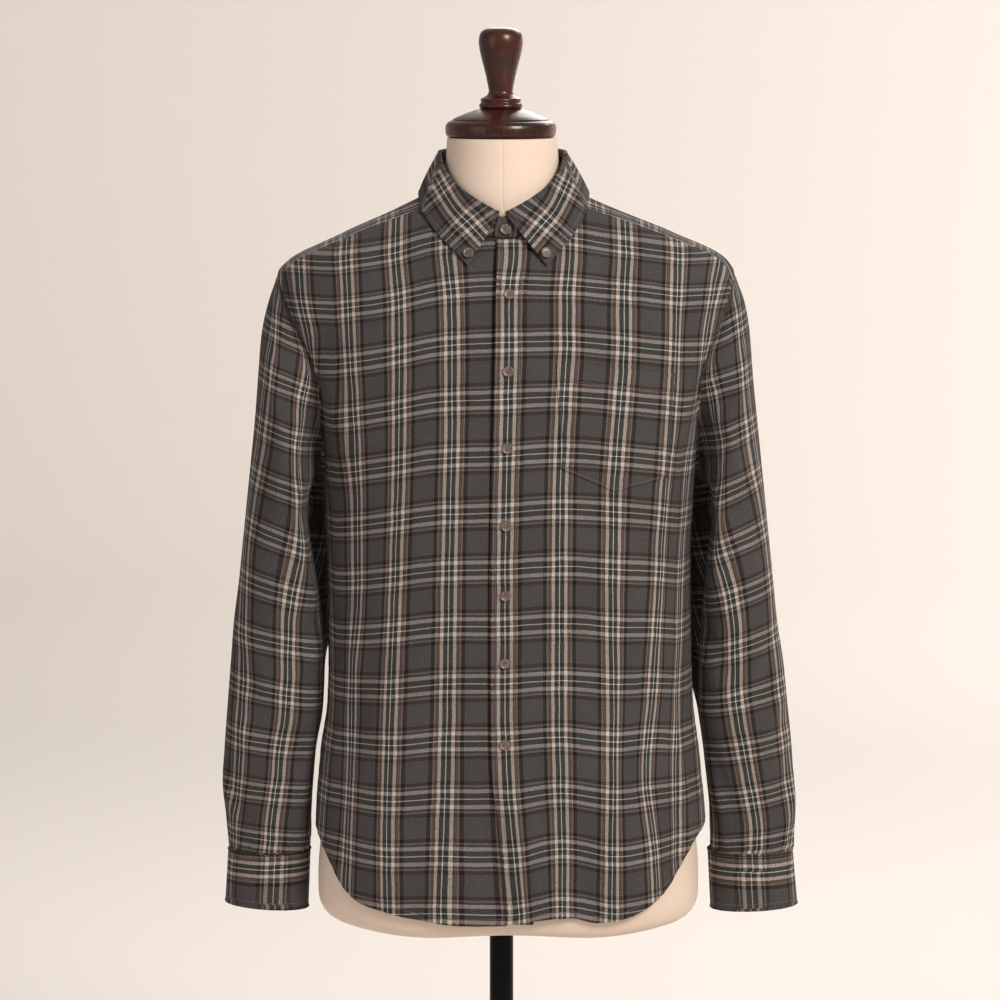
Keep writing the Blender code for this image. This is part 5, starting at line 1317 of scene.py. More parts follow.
# A row for each ring, the armhole's first: x_out, z_out, x_in, z_in, y_front, y_back, power.
RIGHT_SLEEVE = (
    (0.2428, 1.1853, 0.1990, 0.990, -0.0700, 0.0690, 2.10),
    (0.2482, 1.1644, 0.2020, 0.976, -0.0730, 0.0720, 2.10),
    (0.2514, 1.1434, 0.2030, 0.962, -0.0740, 0.0740, 2.15),
    (0.2548, 1.1015, 0.2010, 0.939, -0.0720, 0.0760, 2.20),
    (0.2583, 1.0594, 0.1975, 0.916, -0.0690, 0.0770, 2.20),
    (0.2627, 1.0172, 0.1935, 0.893, -0.0650, 0.0770, 2.20),
    (0.2672, 0.9750, 0.1895, 0.870, -0.0610, 0.0750, 2.20),
    (0.2717, 0.9327, 0.1860, 0.846, -0.0580, 0.0720, 2.20),
    (0.2762, 0.8902, 0.1840, 0.822, -0.0560, 0.0680, 2.20),
    (0.2818, 0.8477, 0.1840, 0.797, -0.0540, 0.0630, 2.20),
    (0.2853, 0.8051, 0.1845, 0.771, -0.0520, 0.0580, 2.20),
    (0.2888, 0.7624, 0.1855, 0.744, -0.0500, 0.0530, 2.20),
    (0.2922, 0.7196, 0.1925, 0.712, -0.0480, 0.0490, 2.20),
    (0.2947, 0.6767, 0.1955, 0.674, -0.0460, 0.0460, 2.20),
    (0.2925, 0.6500, 0.1975, 0.648, -0.0430, 0.0430, 2.20),
    (0.2893, 0.6200, 0.1995, 0.619, -0.0390, 0.0390, 2.15),
    (0.2885, 0.6038, 0.2025, 0.6038, -0.0350, 0.0350, 2.10),
)
LEFT_SLEEVE = (
    (0.2532, 1.1853, 0.2180, 0.990, -0.0700, 0.0690, 2.10),
    (0.2576, 1.1644, 0.2200, 0.976, -0.0730, 0.0720, 2.10),
    (0.2598, 1.1434, 0.2205, 0.962, -0.0740, 0.0740, 2.15),
    (0.2632, 1.1015, 0.2190, 0.939, -0.0720, 0.0760, 2.20),
    (0.2677, 1.0594, 0.2155, 0.916, -0.0690, 0.0770, 2.20),
    (0.2722, 1.0172, 0.2135, 0.893, -0.0650, 0.0770, 2.20),
    (0.2767, 0.9750, 0.2115, 0.870, -0.0610, 0.0750, 2.20),
    (0.2812, 0.9327, 0.2095, 0.846, -0.0580, 0.0720, 2.20),
    (0.2857, 0.8902, 0.2080, 0.822, -0.0560, 0.0680, 2.20),
    (0.2902, 0.8477, 0.2065, 0.797, -0.0540, 0.0630, 2.20),
    (0.2969, 0.8051, 0.2060, 0.771, -0.0520, 0.0580, 2.20),
    (0.3014, 0.7624, 0.2062, 0.744, -0.0500, 0.0530, 2.20),
    (0.3060, 0.7196, 0.2100, 0.712, -0.0480, 0.0490, 2.20),
    (0.3090, 0.6767, 0.2140, 0.674, -0.0460, 0.0460, 2.20),
    (0.3110, 0.6500, 0.2165, 0.648, -0.0440, 0.0440, 2.20),
    (0.3095, 0.6200, 0.2180, 0.619, -0.0400, 0.0400, 2.15),
    (0.3080, 0.6030, 0.2190, 0.6030, -0.0350, 0.0350, 2.10),
)
SLEEVE_CLEAR = 0.0022
SLEEVE_MIDDLE = 0.235
SLEEVE_TUCK = 0.027       # its inner back part lies in behind the body
SLEEVE_VALLEY = 0.034     # hollow beside the lower front of the armhole seam, and the degrees
VALLEY_AT, VALLEY_WIDTH = 136.0, 30.0        # round the sleeve at which it lies and spreads
DEGREE_RUN = 0.00085      # length of one degree round it
PLEAT_DEPTH, PLEAT_EVERY, PLEAT_REACH = 0.0036, 0.017, 0.030     # gathers into the cuff
EASE_DEPTH, EASE_EVERY, EASE_REACH = 0.0007, 0.021, 0.016        # and ease into the armhole
# Folds of a sleeve: degrees round it (0 outside, 90 front, 180 next to the body) and height at
# one end, the same at the other end, then half width and rise.
RIGHT_SLEEVE_FOLDS = (
    (130, 1.12, 80, 0.985, 0.011, 0.0024), (110, 1.14, 60, 1.03, 0.01, -0.002),
    (150, 1.03, 100, 0.935, 0.01, 0.002), (145, 0.985, 85, 0.89, 0.01, -0.0018),
    (150, 0.9, 70, 0.845, 0.01, 0.0026), (155, 0.865, 85, 0.8, 0.009, -0.0024),
    (150, 0.82, 60, 0.765, 0.01, 0.0026), (40, 0.82, 85, 0.745, 0.01, -0.0022),
    (30, 0.76, 95, 0.69, 0.01, 0.0024), (150, 0.76, 105, 0.65, 0.009, -0.0022),
    (140, 0.72, 130, 0.62, 0.01, 0.0024), (35, 0.7, 60, 0.625, 0.01, -0.002),
    (20, 0.69, 45, 0.63, 0.009, 0.002), (90, 0.69, 80, 0.615, 0.009, -0.0016),
    (-40, 0.99, -100, 0.86, 0.012, 0.0026), (-60, 0.9, -130, 0.8, 0.011, -0.0026),
    (-35, 0.86, -110, 0.76, 0.011, 0.0026), (-50, 0.78, -120, 0.68, 0.01, -0.002),
    (-70, 1.12, -100, 0.96, 0.012, -0.002), (-80, 0.7, -95, 0.62, 0.009, 0.002),
)
LEFT_SLEEVE_FOLDS = (
    (125, 1.12, 75, 0.975, 0.011, 0.0024), (105, 1.135, 55, 1.01, 0.01, -0.002),
    (150, 1.01, 100, 0.92, 0.01, 0.0022), (140, 0.96, 80, 0.88, 0.01, -0.002),
    (155, 0.915, 75, 0.83, 0.01, 0.0026), (150, 0.85, 90, 0.78, 0.009, -0.0024),
    (145, 0.8, 60, 0.74, 0.01, 0.0024), (35, 0.84, 80, 0.76, 0.01, -0.0022),
    (25, 0.78, 90, 0.705, 0.01, 0.0026), (150, 0.74, 110, 0.64, 0.009, -0.0022),
    (140, 0.7, 128, 0.62, 0.01, 0.0022), (30, 0.71, 62, 0.63, 0.01, -0.0022),
    (15, 0.68, 40, 0.625, 0.009, 0.002), (88, 0.68, 84, 0.615, 0.009, -0.0016),
    (-45, 1.0, -100, 0.87, 0.012, 0.0026), (-60, 0.89, -125, 0.79, 0.011, -0.0026),
    (-30, 0.85, -105, 0.75, 0.011, 0.0026), (-55, 0.77, -115, 0.67, 0.01, -0.002),
    (-75, 1.11, -105, 0.95, 0.012, -0.002), (-85, 0.7, -100, 0.62, 0.009, 0.002),
)
# How far out from the middle plane the two upright stripe groups on a sleeve's front lie.
SLEEVE_MARK_COLUMNS = ("z", "inner", "outer")
RIGHT_SLEEVE_MARKS = (
    (0.6, 0.245, 0.285), (0.63, 0.2425, 0.283), (0.68, 0.236, 0.276), (0.74, 0.229, 0.272),
    (0.812, 0.2225, 0.272), (0.868, 0.218, 0.272), (0.913, 0.212, 0.267), (0.96, 0.208, 0.262),
    (1.0, 0.208, 0.2575), (1.076, 0.207, 0.25), (1.11, 0.206, 0.242), (1.172, 0.205, 0.234))
LEFT_SLEEVE_MARKS = (
    (0.6, 0.27, 0.304), (0.678, 0.26, 0.302), (0.738, 0.252, 0.2985), (0.797, 0.245, 0.293),
    (0.857, 0.237, 0.286), (0.916, 0.229, 0.279), (0.972, 0.2225, 0.272), (1.02, 0.222, 0.266),
    (1.076, 0.221, 0.259), (1.11, 0.22, 0.252), (1.172, 0.219, 0.244))
# Its level groups: number, height 235 mm out from the middle plane, and slope.
RIGHT_SLEEVE_LEVELS = (
    (-10, 0.6185, 0.11), (-9, 0.6707, 0.1), (-8, 0.7228, 0.14), (-7, 0.777, 0.19), (-6, 0.831, 0.2),
    (-5, 0.8858, 0.26), (-4, 0.9418, 0.35), (-3, 0.9973, 0.33), (-2, 1.053, 0.34), (-1, 1.1076, 0.43),
    (0, 1.1590, 0.43))
LEFT_SLEEVE_LEVELS = (
    (-10, 0.611, 0.1), (-9, 0.6623, 0.15), (-8, 0.714, 0.17), (-7, 0.7675, 0.22), (-6, 0.822, 0.28),
    (-5, 0.877, 0.32), (-4, 0.934, 0.36), (-3, 0.9915, 0.44), (-2, 1.0495, 0.38), (-1, 1.1065, 0.34),
    (0, 1.1590, 0.52))


def sleeve_rings(side, around):
    """Rings of the sleeve's outer face, from the armhole seam to the cuff seam."""
    table = RIGHT_SLEEVE if side < 0 else LEFT_SLEEVE
    loop = np.concatenate([around[-2:-1] + 2 * math.pi, around, around[1:2] - 2 * math.pi])
    line = np.stack(armhole(side, loop), -1)
    seam = section_point(SHIRT_SKIN, *shifted(line, -0.5 * SEAM_GAP * side)[1:-1].T)
    seam = seam + fold_height(*line[1:-1].T)[:, None] * skin_normal(SHIRT_SKIN, *line[1:-1].T)
    rings = [seam]
    for x_out, z_out, x_in, z_in, y_front, y_back, power in table:
        up, ahead = np.cos(around), np.sin(around)
        power = power + 1.4 * smooth_step(0.84, 0.92, z_in) * (up < 0) * (ahead > 0)
        reach = (np.abs(up) ** power + np.abs(ahead) ** power) ** (-1.0 / power)
        x = side * ((x_out + x_in) / 2 + (x_out - x_in) / 2 * up * reach)
        z = (z_out + z_in) / 2 + (z_out - z_in) / 2 * up * reach
        y = np.where(ahead > 0, y_front, -y_back) * ahead * reach
        tuck = 2.0 * np.maximum(-up, 0.0) * np.maximum(-ahead, 0.0)
        low = 0.79 if side < 0 else 0.735
        x = x - side * SLEEVE_TUCK * tuck * smooth_step(low, low + 0.07, z) * smooth_step(-1.04, -1.00, -z)
        rings.append(np.stack([x, y, z], -1))
    first = seam + (rings[1] - seam) * np.array([0.35, 0.70, 0.35])
    first[:, 1] += SLEEVE_VALLEY * np.exp(-((np.degrees(around) - VALLEY_AT) / VALLEY_WIDTH) ** 2)
    return np.array([seam, first] + rings[1:])


def clear_of_body(points, side):
    """Moves sleeve points out sideways until they clear the body."""
    x, y, z = points[..., 0], points[..., 1], points[..., 2]
    power = SHIRT_SKIN["power"](z)
    share = np.maximum(1.0 - (np.abs(y) / depth_at(y, z)) ** power, 0.0) ** (1.0 / power)
    body = SHIRT_SKIN["half"](z) * share + side * SHIRT_SKIN["shift"](z) + SLEEVE_CLEAR
    away = side * x
    soft = 0.003
    pushed = body + soft * np.logaddexp(0.0, (away - body) / soft)
    moved = np.array(points)
    moved[..., 0] = side * (away + (pushed - away) * (1.0 - smooth_step(1.010, 1.045, z)))
    return moved


def through(points, at):
    """Smooth curve through the rows of a grid (Catmull-Rom), read at row numbers."""
    i = np.clip(np.floor(at).astype(int), 0, len(points) - 2)
    t = (at - i).reshape((-1,) + (1,) * (points.ndim - 1))
    before, one = points[np.maximum(i - 1, 0)], points[i]
    two, after = points[i + 1], points[np.minimum(i + 2, len(points) - 1)]
    return 0.5 * (2 * one + (two - before) * t + (2 * before - 5 * one + 4 * two - after) * t ** 2
                  + (3 * one - before - 3 * two + after) * t ** 3)


def even_rows(points, spacing, fine, ends):
    """Row numbers for steps of a spacing along a grid, finer near both of its ends."""
    mean_run = np.mean(run_along(points, 0), axis=1)
    places = close_to(mean_run[-1], fine, spacing, ends, ends) * mean_run[-1]
    return np.interp(places, mean_run, np.arange(len(points)))


def sleeve_lift(folds, around, points):
    """How far the folds lift the sleeve."""
    total = np.zeros(points.shape[:2])
    for round0, z0, round1, z1, width, rise in folds:
        turned = (np.degrees(around) - round0 + 180.0) % 360.0 - 180.0
        total = total + crease(turned * DEGREE_RUN, points[..., 2],
                               (0.0, z0, (round1 - round0) * DEGREE_RUN, z1, width, rise))
    return total


def sleeve_grain(points, side):
    """Round and down the sleeve's cloth, in metres, from its inner stripe group."""
    marks = tracks(SLEEVE_MARK_COLUMNS, RIGHT_SLEEVE_MARKS if side < 0 else LEFT_SLEEVE_MARKS)
    groups, heights, slopes = zip(*(RIGHT_SLEEVE_LEVELS if side < 0 else LEFT_SLEEVE_LEVELS))
    away, z = side * points[..., 0], points[..., 2]
    round_run = run_along(points, 1)
    half = points.shape[1] // 2
    rows, lines = np.arange(len(points)), []
    for name in ("inner", "outer"):
        off = away[:, :half] - marks[name](z[:, :half])
        spots = [np.interp(0.0, np.maximum.accumulate(row), run)
                 for row, run in zip(off, round_run[:, :half])]
        lines.append(np.polyval(np.polyfit(rows, spots, 5), rows)[:, None])
    across = piecewise(round_run, lines, [0.0, PITCH])
    level = z - np.interp(z, heights, slopes) * (away - SLEEVE_MIDDLE)
    return np.stack([across, piecewise(level, heights, [PITCH * group for group in groups])], -1)


def outward_from_sleeve(point):
    centre = np.interp(point[2], (0.60, 1.0), (0.252, 0.232))
    return np.array([abs(point[0]) - centre, point[1], 0.0]) * np.array([np.sign(point[0]), 1.0, 1.0])


for side, name in ((-1, "sleeve_right"), (1, "sleeve_left")):
    around = np.concatenate([np.linspace(math.pi, 0.0, 82)[:-1], np.linspace(0.0, -math.pi, 80)])
    rings = sleeve_rings(side, around)
    rings[1:] = clear_of_body(rings[1:], side)
    rows = even_rows(rings, spacing=0.0034, fine=0.0012, ends=0.006)
    points = through(rings, rows)
    normal = facing_of(points, outward_from_sleeve)
    folds = RIGHT_SLEEVE_FOLDS if side < 0 else LEFT_SLEEVE_FOLDS
    grown = np.clip(rows, 0.0, 1.5)[:, None] / 1.5
    lift = sleeve_lift(folds, around[None, :], points) * grown
    from_cuff = points[..., 2] - rings[-1][:, 2].mean()
    pleats = 0.5 * uneven(run_along(points, 1) / PLEAT_EVERY, 2.0 + side) - 0.1
    lift = lift - (PLEAT_DEPTH * pleats * np.exp(-from_cuff / PLEAT_REACH)
                   * smooth_step(0.0, 0.004, from_cuff))
    from_arm = run_along(points, 0)
    ease = uneven(run_along(points, 1)[:1] / EASE_EVERY, 0.6 * side)
    lift = lift + EASE_DEPTH * ease * np.exp(-from_arm / EASE_REACH) * smooth_step(0.0, 0.004, from_arm)
    points = points + lift[..., None] * normal
    points[1:] = clear_of_body(points[1:], side)
    grain = sleeve_grain(points, side)
    STITCH_RUNS.setdefault("armhole_" + name, []).append(np.concatenate([points[2], normal[2]], -1))
    points[:, -1] = points[:, 0]
    cloth_piece(name + "_panel", name, points, grain, CLOTH, outward_from_sleeve,
                {"first_row": "seam"}, welded=True)

# ======== cuffs
# Cut with the warp round the wrist, interlined, two layers, topstitched near both edges.  Each
# laps at the back, where one horn button closes it.

CUFF_LAP = 34.0           # overlap of the cuff's ends, degrees
CUFF_STITCH = 0.0050
CUFF_EASE = 0.0008        # a cuff stands this far outside the sleeve's end
# Top and foot of each cuff: x_out, x_in, half depth, z_out, z_in.
RIGHT_CUFF = ((0.2888, 0.2032, 0.0345, 0.6030, 0.6030), (0.2922, 0.2056, 0.0350, 0.5496, 0.5432))
LEFT_CUFF = ((0.3080, 0.2192, 0.0345, 0.6022, 0.6022), (0.3130, 0.2224, 0.0350, 0.5470, 0.5425))
# Height of its level stripe group, and how far out its upright one lies, by side.
CUFF_MARKS = {-1: (0.5870, 0.2390), 1: (0.5840, 0.2630)}

for side, name in ((-1, "cuff_right"), (1, "cuff_left")):
    top, foot = RIGHT_CUFF if side < 0 else LEFT_CUFF
    start = math.radians(-90.0)
    turns = start + (2 * math.pi + math.radians(CUFF_LAP)) * close_to(0.25, 0.0010, 0.0022, 0.002, 0.002)
    lap = (DOUBLE_CLOTH + 0.0004) * smooth_step(2 * math.pi - 0.9, 2 * math.pi - 0.15, turns - start)
    rows = []
    for share in close_to(0.057, 0.0008, 0.0022, 0.003, 0.003)[::-1]:
        x_out, x_in, depth, z_out, z_in = [a + (b - a) * share for a, b in zip(top, foot)]
        x_out, x_in, depth = x_out + CUFF_EASE, x_in - CUFF_EASE, depth + CUFF_EASE
        x = side * ((x_out + x_in) / 2 + ((x_out - x_in) / 2 + lap) * np.cos(turns))
        y = -(depth + lap) * np.sin(turns)
        z = (z_out + z_in) / 2 + (z_out - z_in) / 2 * np.cos(turns)
        rows.append(np.stack([x, y, z], -1))
    points = np.array(rows)
    level, group = CUFF_MARKS[side]
    round_run = run_along(points, 1)
    facing = np.argmin(np.abs(turns[None, :] - math.pi / 2) * 0.02
                       + np.abs(side * points[:, :, 0] - group) + 10.0 * (points[:, :, 1] > -0.02), 1)
    grain = np.stack([points[..., 2] - level,
                      round_run - round_run[np.arange(len(points)), facing][:, None]], -1)
    points = sewn(points, outward_from_sleeve, {
        "first_row": ((CUFF_STITCH,), 0.006, 0.00030, 0.014),
        "last_row": ((0.0020, 0.0075), 0.006, 0.00035, 0.013),
        "first_column": ((CUFF_STITCH,), 0.005, 0.00020, 0.015),
        "last_column": ((CUFF_STITCH,), 0.005, 0.00020, 0.015)}, run=name)
    cloth_piece(name + "_band", name, points, grain, DOUBLE_CLOTH, outward_from_sleeve,
                dict.fromkeys(SIDES, "free"))

# ======== collar
# A stand sewn round the neckline carries a button-down leaf that folds over it.  Both are cut
# along the warp, two layers with interlining, and topstitched 5 mm inside their edges.

STAND_LAP = 7.5           # the stand's ends pass the centre by this many degrees
NECK_LENGTH = 0.066       # the neck's half length, front to back
COLLAR_COLUMNS = ("turn", "stand_half", "stand_front", "crest")
COLLAR = (
    (0.0, 0.064, 0.0752, 1.2795), (15.0, 0.064, 0.074, 1.288), (30.0, 0.0642, 0.0725, 1.2975),
    (45.0, 0.0645, 0.071, 1.307), (60.0, 0.0648, 0.069, 1.319), (75.0, 0.065, 0.066, 1.332),
    (90.0, 0.065, 0.063, 1.3405), (120.0, 0.0648, 0.059, 1.342), (180.0, 0.0645, 0.056, 1.341),
)
LEAF_RISE = 0.0045        # the leaf's fold stands this far over the stand
LEAF_STITCH = 0.0052
LEAF_EDGE_COLUMNS = ("share", "half", "z", "off")
LEAF_EDGE = (
    (0.0, 0.0403, 1.2262, 0.0038), (0.1, 0.0556, 1.2425, 0.0036), (0.2, 0.0682, 1.255, 0.0032),
    (0.3, 0.077, 1.267, 0.0034), (0.4, 0.084, 1.279, 0.0038),
)
LEAF_EDGE_BACK_COLUMNS = ("share", "turn", "z", "off")
LEAF_EDGE_BACK = (
    (0.5, 84.0, 1.293, 0.0042), (0.62, 106.0, 1.294, 0.0044), (0.75, 128.0, 1.291, 0.0044),
    (0.88, 154.0, 1.289, 0.005), (1.0, 180.0, 1.288, 0.0052),
)
COLLAR_LINE = tracks(COLLAR_COLUMNS, COLLAR)


def stand_ring(turn, share):
    """Outer face of the stand: turn round the neck, share 0 at the neckline and 1 at its top."""
    near = (np.degrees(turn) + 180.0) % 360.0 - 180.0
    folded = np.abs(near)
    base_x, base_y, base_z = neckline(turn)
    over_placket = smooth_step(-22.0, -10.0, near) * (1.0 - smooth_step(24.0, 38.0, near))
    base_z = base_z + 0.0014 + 0.0024 * over_placket
    half, long_way = COLLAR_LINE["stand_half"](folded), COLLAR_LINE["stand_front"](folded)
    top_x = NECK_SHIFT - 0.0012 + half * np.sin(turn)
    top_y = -long_way * np.cos(turn)
    top_z = COLLAR_LINE["crest"](folded) - LEAF_RISE
    base = np.stack([base_x, base_y, base_z], -1)
    top = np.stack([top_x, top_y, top_z], -1)
    return base + (top - base) * share


def plan_out(turn):
    """Unit vector out from the neck in plan."""
    return unit(np.stack([np.sin(turn) / NECK_HALF, -np.cos(turn) / NECK_LENGTH, 0.0 * turn], -1))


def outward_from_neck(point):
    return np.array([point[0] - 0.002, point[1] + 0.006, 0.0])


lap = math.radians(STAND_LAP)
turns = lap - (2 * math.pi + 2 * lap) * close_to(0.45, 0.0009, 0.0026, 0.012, 0.012)
over = (DOUBLE_CLOTH + 0.0009) * smooth_step(-2 * math.pi + 1.0, -2 * math.pi + 0.25, turns)
rows = []
for share in np.linspace(0.0, 1.0, 18):
    ends = 1.0 - 0.62 * share ** 2
    squeezed = np.where(turns > 0, turns * ends,
                        np.where(turns < -2 * math.pi, -2 * math.pi
                                 + (turns + 2 * math.pi) * ends, turns))
    rows.append(stand_ring(squeezed, share) + over[:, None] * plan_out(squeezed))
points = np.array(rows)
across = run_along(points, 1)
grain = np.stack([run_along(points, 0) + 0.0155, across - across[:, -1:] + 0.030], -1)
points = sewn(points, outward_from_neck, {
    "first_row": ((0.0016,), 0.004, 0.00015, 0.012),
    "last_row": ((0.0020,), 0.004, 0.00010, 0.012),
    "first_column": ((0.0022,), 0.004, 0.00010, 0.012),
    "last_column": ((0.0022,), 0.004, 0.00010, 0.012)}, run="collar_stand")
cloth_piece("stand_band", "collar_stand", points, grain, DOUBLE_CLOTH, outward_from_neck,
            dict.fromkeys(SIDES[1:], "free"))


def leaf_controls(stations):
    """Rows run round the neck; columns go up from the stand, over the fold and down."""
    side_edge = tracks(LEAF_EDGE_COLUMNS, LEAF_EDGE)
    back_edge = tracks(LEAF_EDGE_BACK_COLUMNS, LEAF_EDGE_BACK)
    split = (LEAF_EDGE[-1][0] + LEAF_EDGE_BACK[0][0]) / 2
    start = math.radians(3.4)
    rows = []
    for station in stations:
        side = -1.0 if station < 0 else 1.0
        share = 1.0 - abs(station)
        turn = side * (start + (math.pi - start) * share)
        top = stand_ring(np.asarray(turn), 1.0)
        way = plan_out(np.asarray(turn))
        lap = (DOUBLE_CLOTH + 0.0009) * float(smooth_step(1.0, 0.25, turn)) if side > 0 else 0.0
        top = top + lap * way
        fold = [(-DOUBLE_CLOTH, 0.0004), (-DOUBLE_CLOTH, LEAF_RISE - 0.0016),
                (-DOUBLE_CLOTH + 0.0009, LEAF_RISE - 0.0003), (0.0007, LEAF_RISE),
                (0.0022, LEAF_RISE - 0.0007), (0.0030, LEAF_RISE - 0.0026)]
        line = [top + out * way + np.array([0.0, 0.0, up]) for out, up in fold]
        if share < split:
            half, z, off = (float(side_edge[key](share)) for key in ("half", "z", "off"))
            x = (0.0062 - 0.0040 * share / split) + side * half
            edge = body_point(turn_at(x, z), np.asarray(z), off)
        else:
            turn_edge, z, off = (float(back_edge[key](share)) for key in ("turn", "z", "off"))
            edge = body_point(side * math.radians(turn_edge), np.asarray(z), off)
        for drop in (0.3, 0.65, 1.0):
            bulge = 0.0010 * math.sin(math.pi * drop)
            line.append(line[5] + (edge - line[5]) * drop + bulge * way)
        rows.append(line)
    return np.array(rows)


stations = np.linspace(-1.0, 1.0, 33)
controls = leaf_controls(np.sign(stations) * np.abs(stations) ** 0.85)
profile = np.concatenate([np.linspace(0, 4.5, 19), np.linspace(5, 7.9, 20), np.linspace(7.92, 8, 4)])
points = through(controls.swapaxes(0, 1), profile)
points = through(points.swapaxes(0, 1), even_rows(points.swapaxes(0, 1), 0.0026, 0.0009, 0.007))
edge_line = points[:, -1]
tangent = unit(np.gradient(edge_line, axis=0))
edge_run = run_along(edge_line[:, None], 0)[:, 0]
across_run = run_along(points, 1)[:, -1:] - run_along(points, 1)
skew = np.einsum("ijk,ik->ij", points - edge_line[:, None], tangent)
skew = np.clip(skew, -0.8 * across_run, 0.8 * across_run)
straight_run = np.sqrt(np.maximum(across_run ** 2 - skew ** 2, 0.0))
middle = len(points) // 2
along = edge_run[:, None] + skew
along = np.where(np.arange(len(points))[:, None] < middle, along, edge_run[-1] - along)
grain = np.stack([straight_run - 0.030, along - 0.0385], -1)
points = sewn(points, outward_from_neck, {
    "last_column": ((LEAF_STITCH,), 0.006, 0.00030, 0.018),
    "first_row": ((LEAF_STITCH,), 0.006, 0.00015, 0.018),
    "last_row": ((LEAF_STITCH,), 0.006, 0.00015, 0.018)}, run="collar_leaf")
cloth_piece("leaf_band", "collar_leaf", points, grain, 0.0013, outward_from_neck,
            {edge: "free" for edge in ("last_column", "first_row", "last_row")})

# ======== buttons
# Eleven millimetre four-hole buttons turned from brown horn, with a raised rim, streaky and with a
# soft polish.  Each is sewn with a cross of dull grey thread, and the same button closes the front,
# the stand, the collar points and the cuffs.

horn_finish, tree, shader = new_finish("polished_brown_horn")
where = add_node(tree, "TexCoord")
streaks = add_node(tree, "TexNoise", feeds={    # 3 mm streaks of the horn
    "Vector": where.outputs["Object"], "Scale": 300.0, "Detail": 3.0, "Distortion": 1.2})
horn = add_node(tree, "ValToRGB", feeds={"Fac": streaks.outputs["Fac"]})
dye(horn.color_ramp, (0.35, "#43352d"), (0.68, "#7d6b5e"))
feed(tree, shader, {"Base Color": horn.outputs["Color"], "Roughness": 0.42, "Coat Weight": 0.3,
                    "Coat Roughness": 0.2})

thread_finish, tree, shader = new_finish("spun_polyester_sewing_thread")
where = add_node(tree, "TexCoord")
twist = add_node(tree, "TexNoise", feeds={      # 0.8 mm unevenness of the ply
    "Vector": where.outputs["Object"], "Scale": 1200.0, "Detail": 1.0})
tone = add_node(tree, "ValToRGB", feeds={"Fac": twist.outputs["Fac"]})
dye(tone.color_ramp, (0.3, "#453f3c"), (0.7, "#736a64"))
feed(tree, shader, {"Base Color": tone.outputs["Color"], "Roughness": 0.7})

BUTTON_RADIUS = 0.0054
BUTTON_THICK = 0.0024
HOLE_OFF = 0.0011
HOLE_RADIUS = 0.00055
THREAD_RADIUS = 0.00030
THREAD_LENGTH = 0.0031

bpy.ops.mesh.primitive_cylinder_add(vertices=40, radius=BUTTON_RADIUS, depth=BUTTON_THICK,
                                    location=(0.0, 0.0, BUTTON_THICK / 2))
button = bpy.context.object
bpy.ops.object.transform_apply(location=True)
for reach, drop in ((0.00075, 0.0), (0.00055, -0.0005), (0.0012, -0.00015)):
    bpy.ops.object.mode_set(mode="EDIT")
    bpy.ops.mesh.select_mode(type="FACE")
    bpy.ops.mesh.select_all(action="DESELECT")
    bpy.ops.object.mode_set(mode="OBJECT")
    top = max(button.data.polygons, key=lambda face: (round(face.normal.z, 2), face.center.z
                                                      - face.center.xy.length, len(face.vertices)))
    top.select = True
    bpy.ops.object.mode_set(mode="EDIT")
    bpy.ops.mesh.inset(thickness=reach, depth=drop)
    bpy.ops.object.mode_set(mode="OBJECT")
edges = button.modifiers.new("rim", "BEVEL")
edges.width = 0.00035
edges.segments = 2
edges.angle_limit = math.radians(35)
bpy.ops.object.modifier_apply(modifier="rim")
drills = []
for x in (-HOLE_OFF, HOLE_OFF):
    for y in (-HOLE_OFF, HOLE_OFF):
        bpy.ops.mesh.primitive_cylinder_add(vertices=10, radius=HOLE_RADIUS, depth=4 * BUTTON_THICK,
                                            location=(x, y, 0.0))
        drills.append(bpy.context.object)
pick(*drills)
bpy.ops.object.join()
drill = bpy.context.object
bpy.ops.object.transform_apply(location=True)
pick(button)
bored = button.modifiers.new("holes", "BOOLEAN")
bored.operation = "DIFFERENCE"
bored.solver = "EXACT"
bored.object = drill
bpy.ops.object.modifier_apply(modifier="holes")
bpy.data.objects.remove(drill, do_unlink=True)
button.data.materials.append(horn_finish)
button.data.materials.append(thread_finish)
strands = []
for angle in (45.0, 135.0):
    bpy.ops.mesh.primitive_cylinder_add(vertices=6, radius=THREAD_RADIUS, depth=THREAD_LENGTH,
                                        location=(0.0, 0.0, BUTTON_THICK - 0.00045),
                                        rotation=(math.pi / 2, 0.0, math.radians(angle)))
    strand = bpy.context.object
    bpy.ops.object.transform_apply(location=True, rotation=True)
    strand.data.materials.append(horn_finish)
    strand.data.materials.append(thread_finish)
    for face in strand.data.polygons:
        face.material_index = 1
    strands.append(strand)
pick(button, *strands)
bpy.ops.object.join()
bpy.ops.object.shade_smooth_by_angle(angle=math.radians(40.0))

for node in sorted(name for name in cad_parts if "button" in name):
    corners = np.array([tuple(corner.co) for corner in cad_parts[node].data.vertices])
    centre = corners.mean(0)
    away = np.linalg.svd(corners - centre)[2][2]
    outward = outward_from_neck(centre) if "collar" in node or "stand" in node else (
        outward_from_sleeve(centre) if "cuff" in node else outward_from_body(centre))
    away = away * np.sign(np.dot(away, outward))
    deep = (corners - centre) @ away
    seat = centre + away * deep.min()
    pick(button)
    bpy.ops.object.duplicate(linked=False)
    copy = bpy.context.object
    turn_way = Vector(away).to_track_quat("Z", "Y").to_matrix().to_4x4()
    spun_by = Matrix.Rotation(0.4 + 0.9 * float(np.sin(7.0 * centre[2] * 10)), 4, "Z")
    copy.data.transform(Matrix.Translation(Vector(seat)) @ turn_way @ spun_by)
    copy.name = copy.data.name = "horn_" + node
    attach(copy, "root")
    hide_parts(node)
bpy.data.objects.remove(button, do_unlink=True)

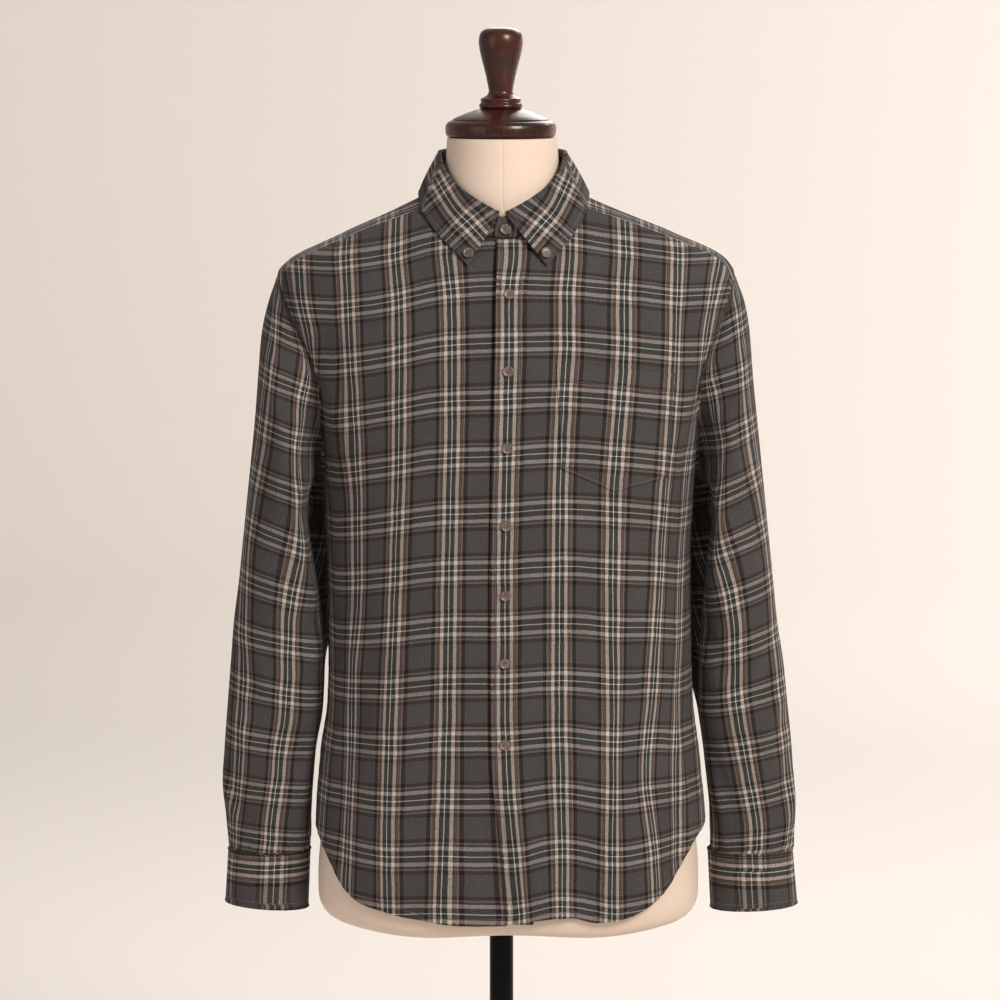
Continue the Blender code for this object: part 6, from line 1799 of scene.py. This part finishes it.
# ======== stitches
# Every topstitch is one short length of grey thread that dips into the cloth at both ends,
# nine to the inch.

STITCH_STEP = 0.0028
STITCH_LENGTH = 0.0022
STITCH_AIM = 0.0008       # its direction is read this far to both sides
bpy.ops.mesh.primitive_cube_add(size=1.0)
stitch = bpy.context.object
edit()
bpy.ops.transform.resize(value=(STITCH_LENGTH, 0.00055, 0.0004))
bpy.ops.mesh.bevel(offset=0.00022, segments=1, affect="EDGES")
bpy.ops.object.mode_set(mode="OBJECT")
stitch_points = np.array([tuple(corner.co) for corner in stitch.data.vertices])
stitch_points[:, 2] -= 0.00012 * (stitch_points[:, 0] / (STITCH_LENGTH / 2)) ** 2      # dips at its ends
stitch_faces = [tuple(face.vertices) for face in stitch.data.polygons]
bpy.data.objects.remove(stitch, do_unlink=True)


def sew(name, lines):
    """Sets the stitch along rows of places and facings, and joins them into one piece."""
    corners, faces = [], []
    for line in lines:
        spots, facing = line[:, :3], line[:, 3:]
        run = np.concatenate([[0.0], np.cumsum(np.linalg.norm(np.diff(spots, axis=0), axis=1))])
        for place in np.arange(0.0015, run[-1] - 0.0015, STITCH_STEP):
            spot, up, after, before = (
                np.array([np.interp(at, run, grid[:, k]) for k in range(3)])
                for at, grid in ((place, spots), (place, facing), (place + STITCH_AIM, spots),
                                 (place - STITCH_AIM, spots)))
            up, ahead = unit(up), after - before
            ahead = unit(ahead - up * np.dot(ahead, up))
            beside = np.cross(up, ahead)
            placed = (spot + 0.00012 * up + stitch_points[:, :1] * ahead + stitch_points[:, 1:2] * beside
                      + stitch_points[:, 2:] * up)
            first = len(corners) * len(stitch_points)
            corners.append(placed)
            faces += [tuple(first + i for i in face) for face in stitch_faces]
    mesh = bpy.data.meshes.new(name)
    mesh.from_pydata(np.concatenate(corners).tolist(), [], faces)
    thread = bpy.data.objects.new(name, mesh)
    bpy.context.scene.collection.objects.link(thread)
    finished(thread, name, thread_finish, "checked_flannel", smooth=50.0)


for run_name, lines in STITCH_RUNS.items():
    sew("stitches_" + run_name, lines)
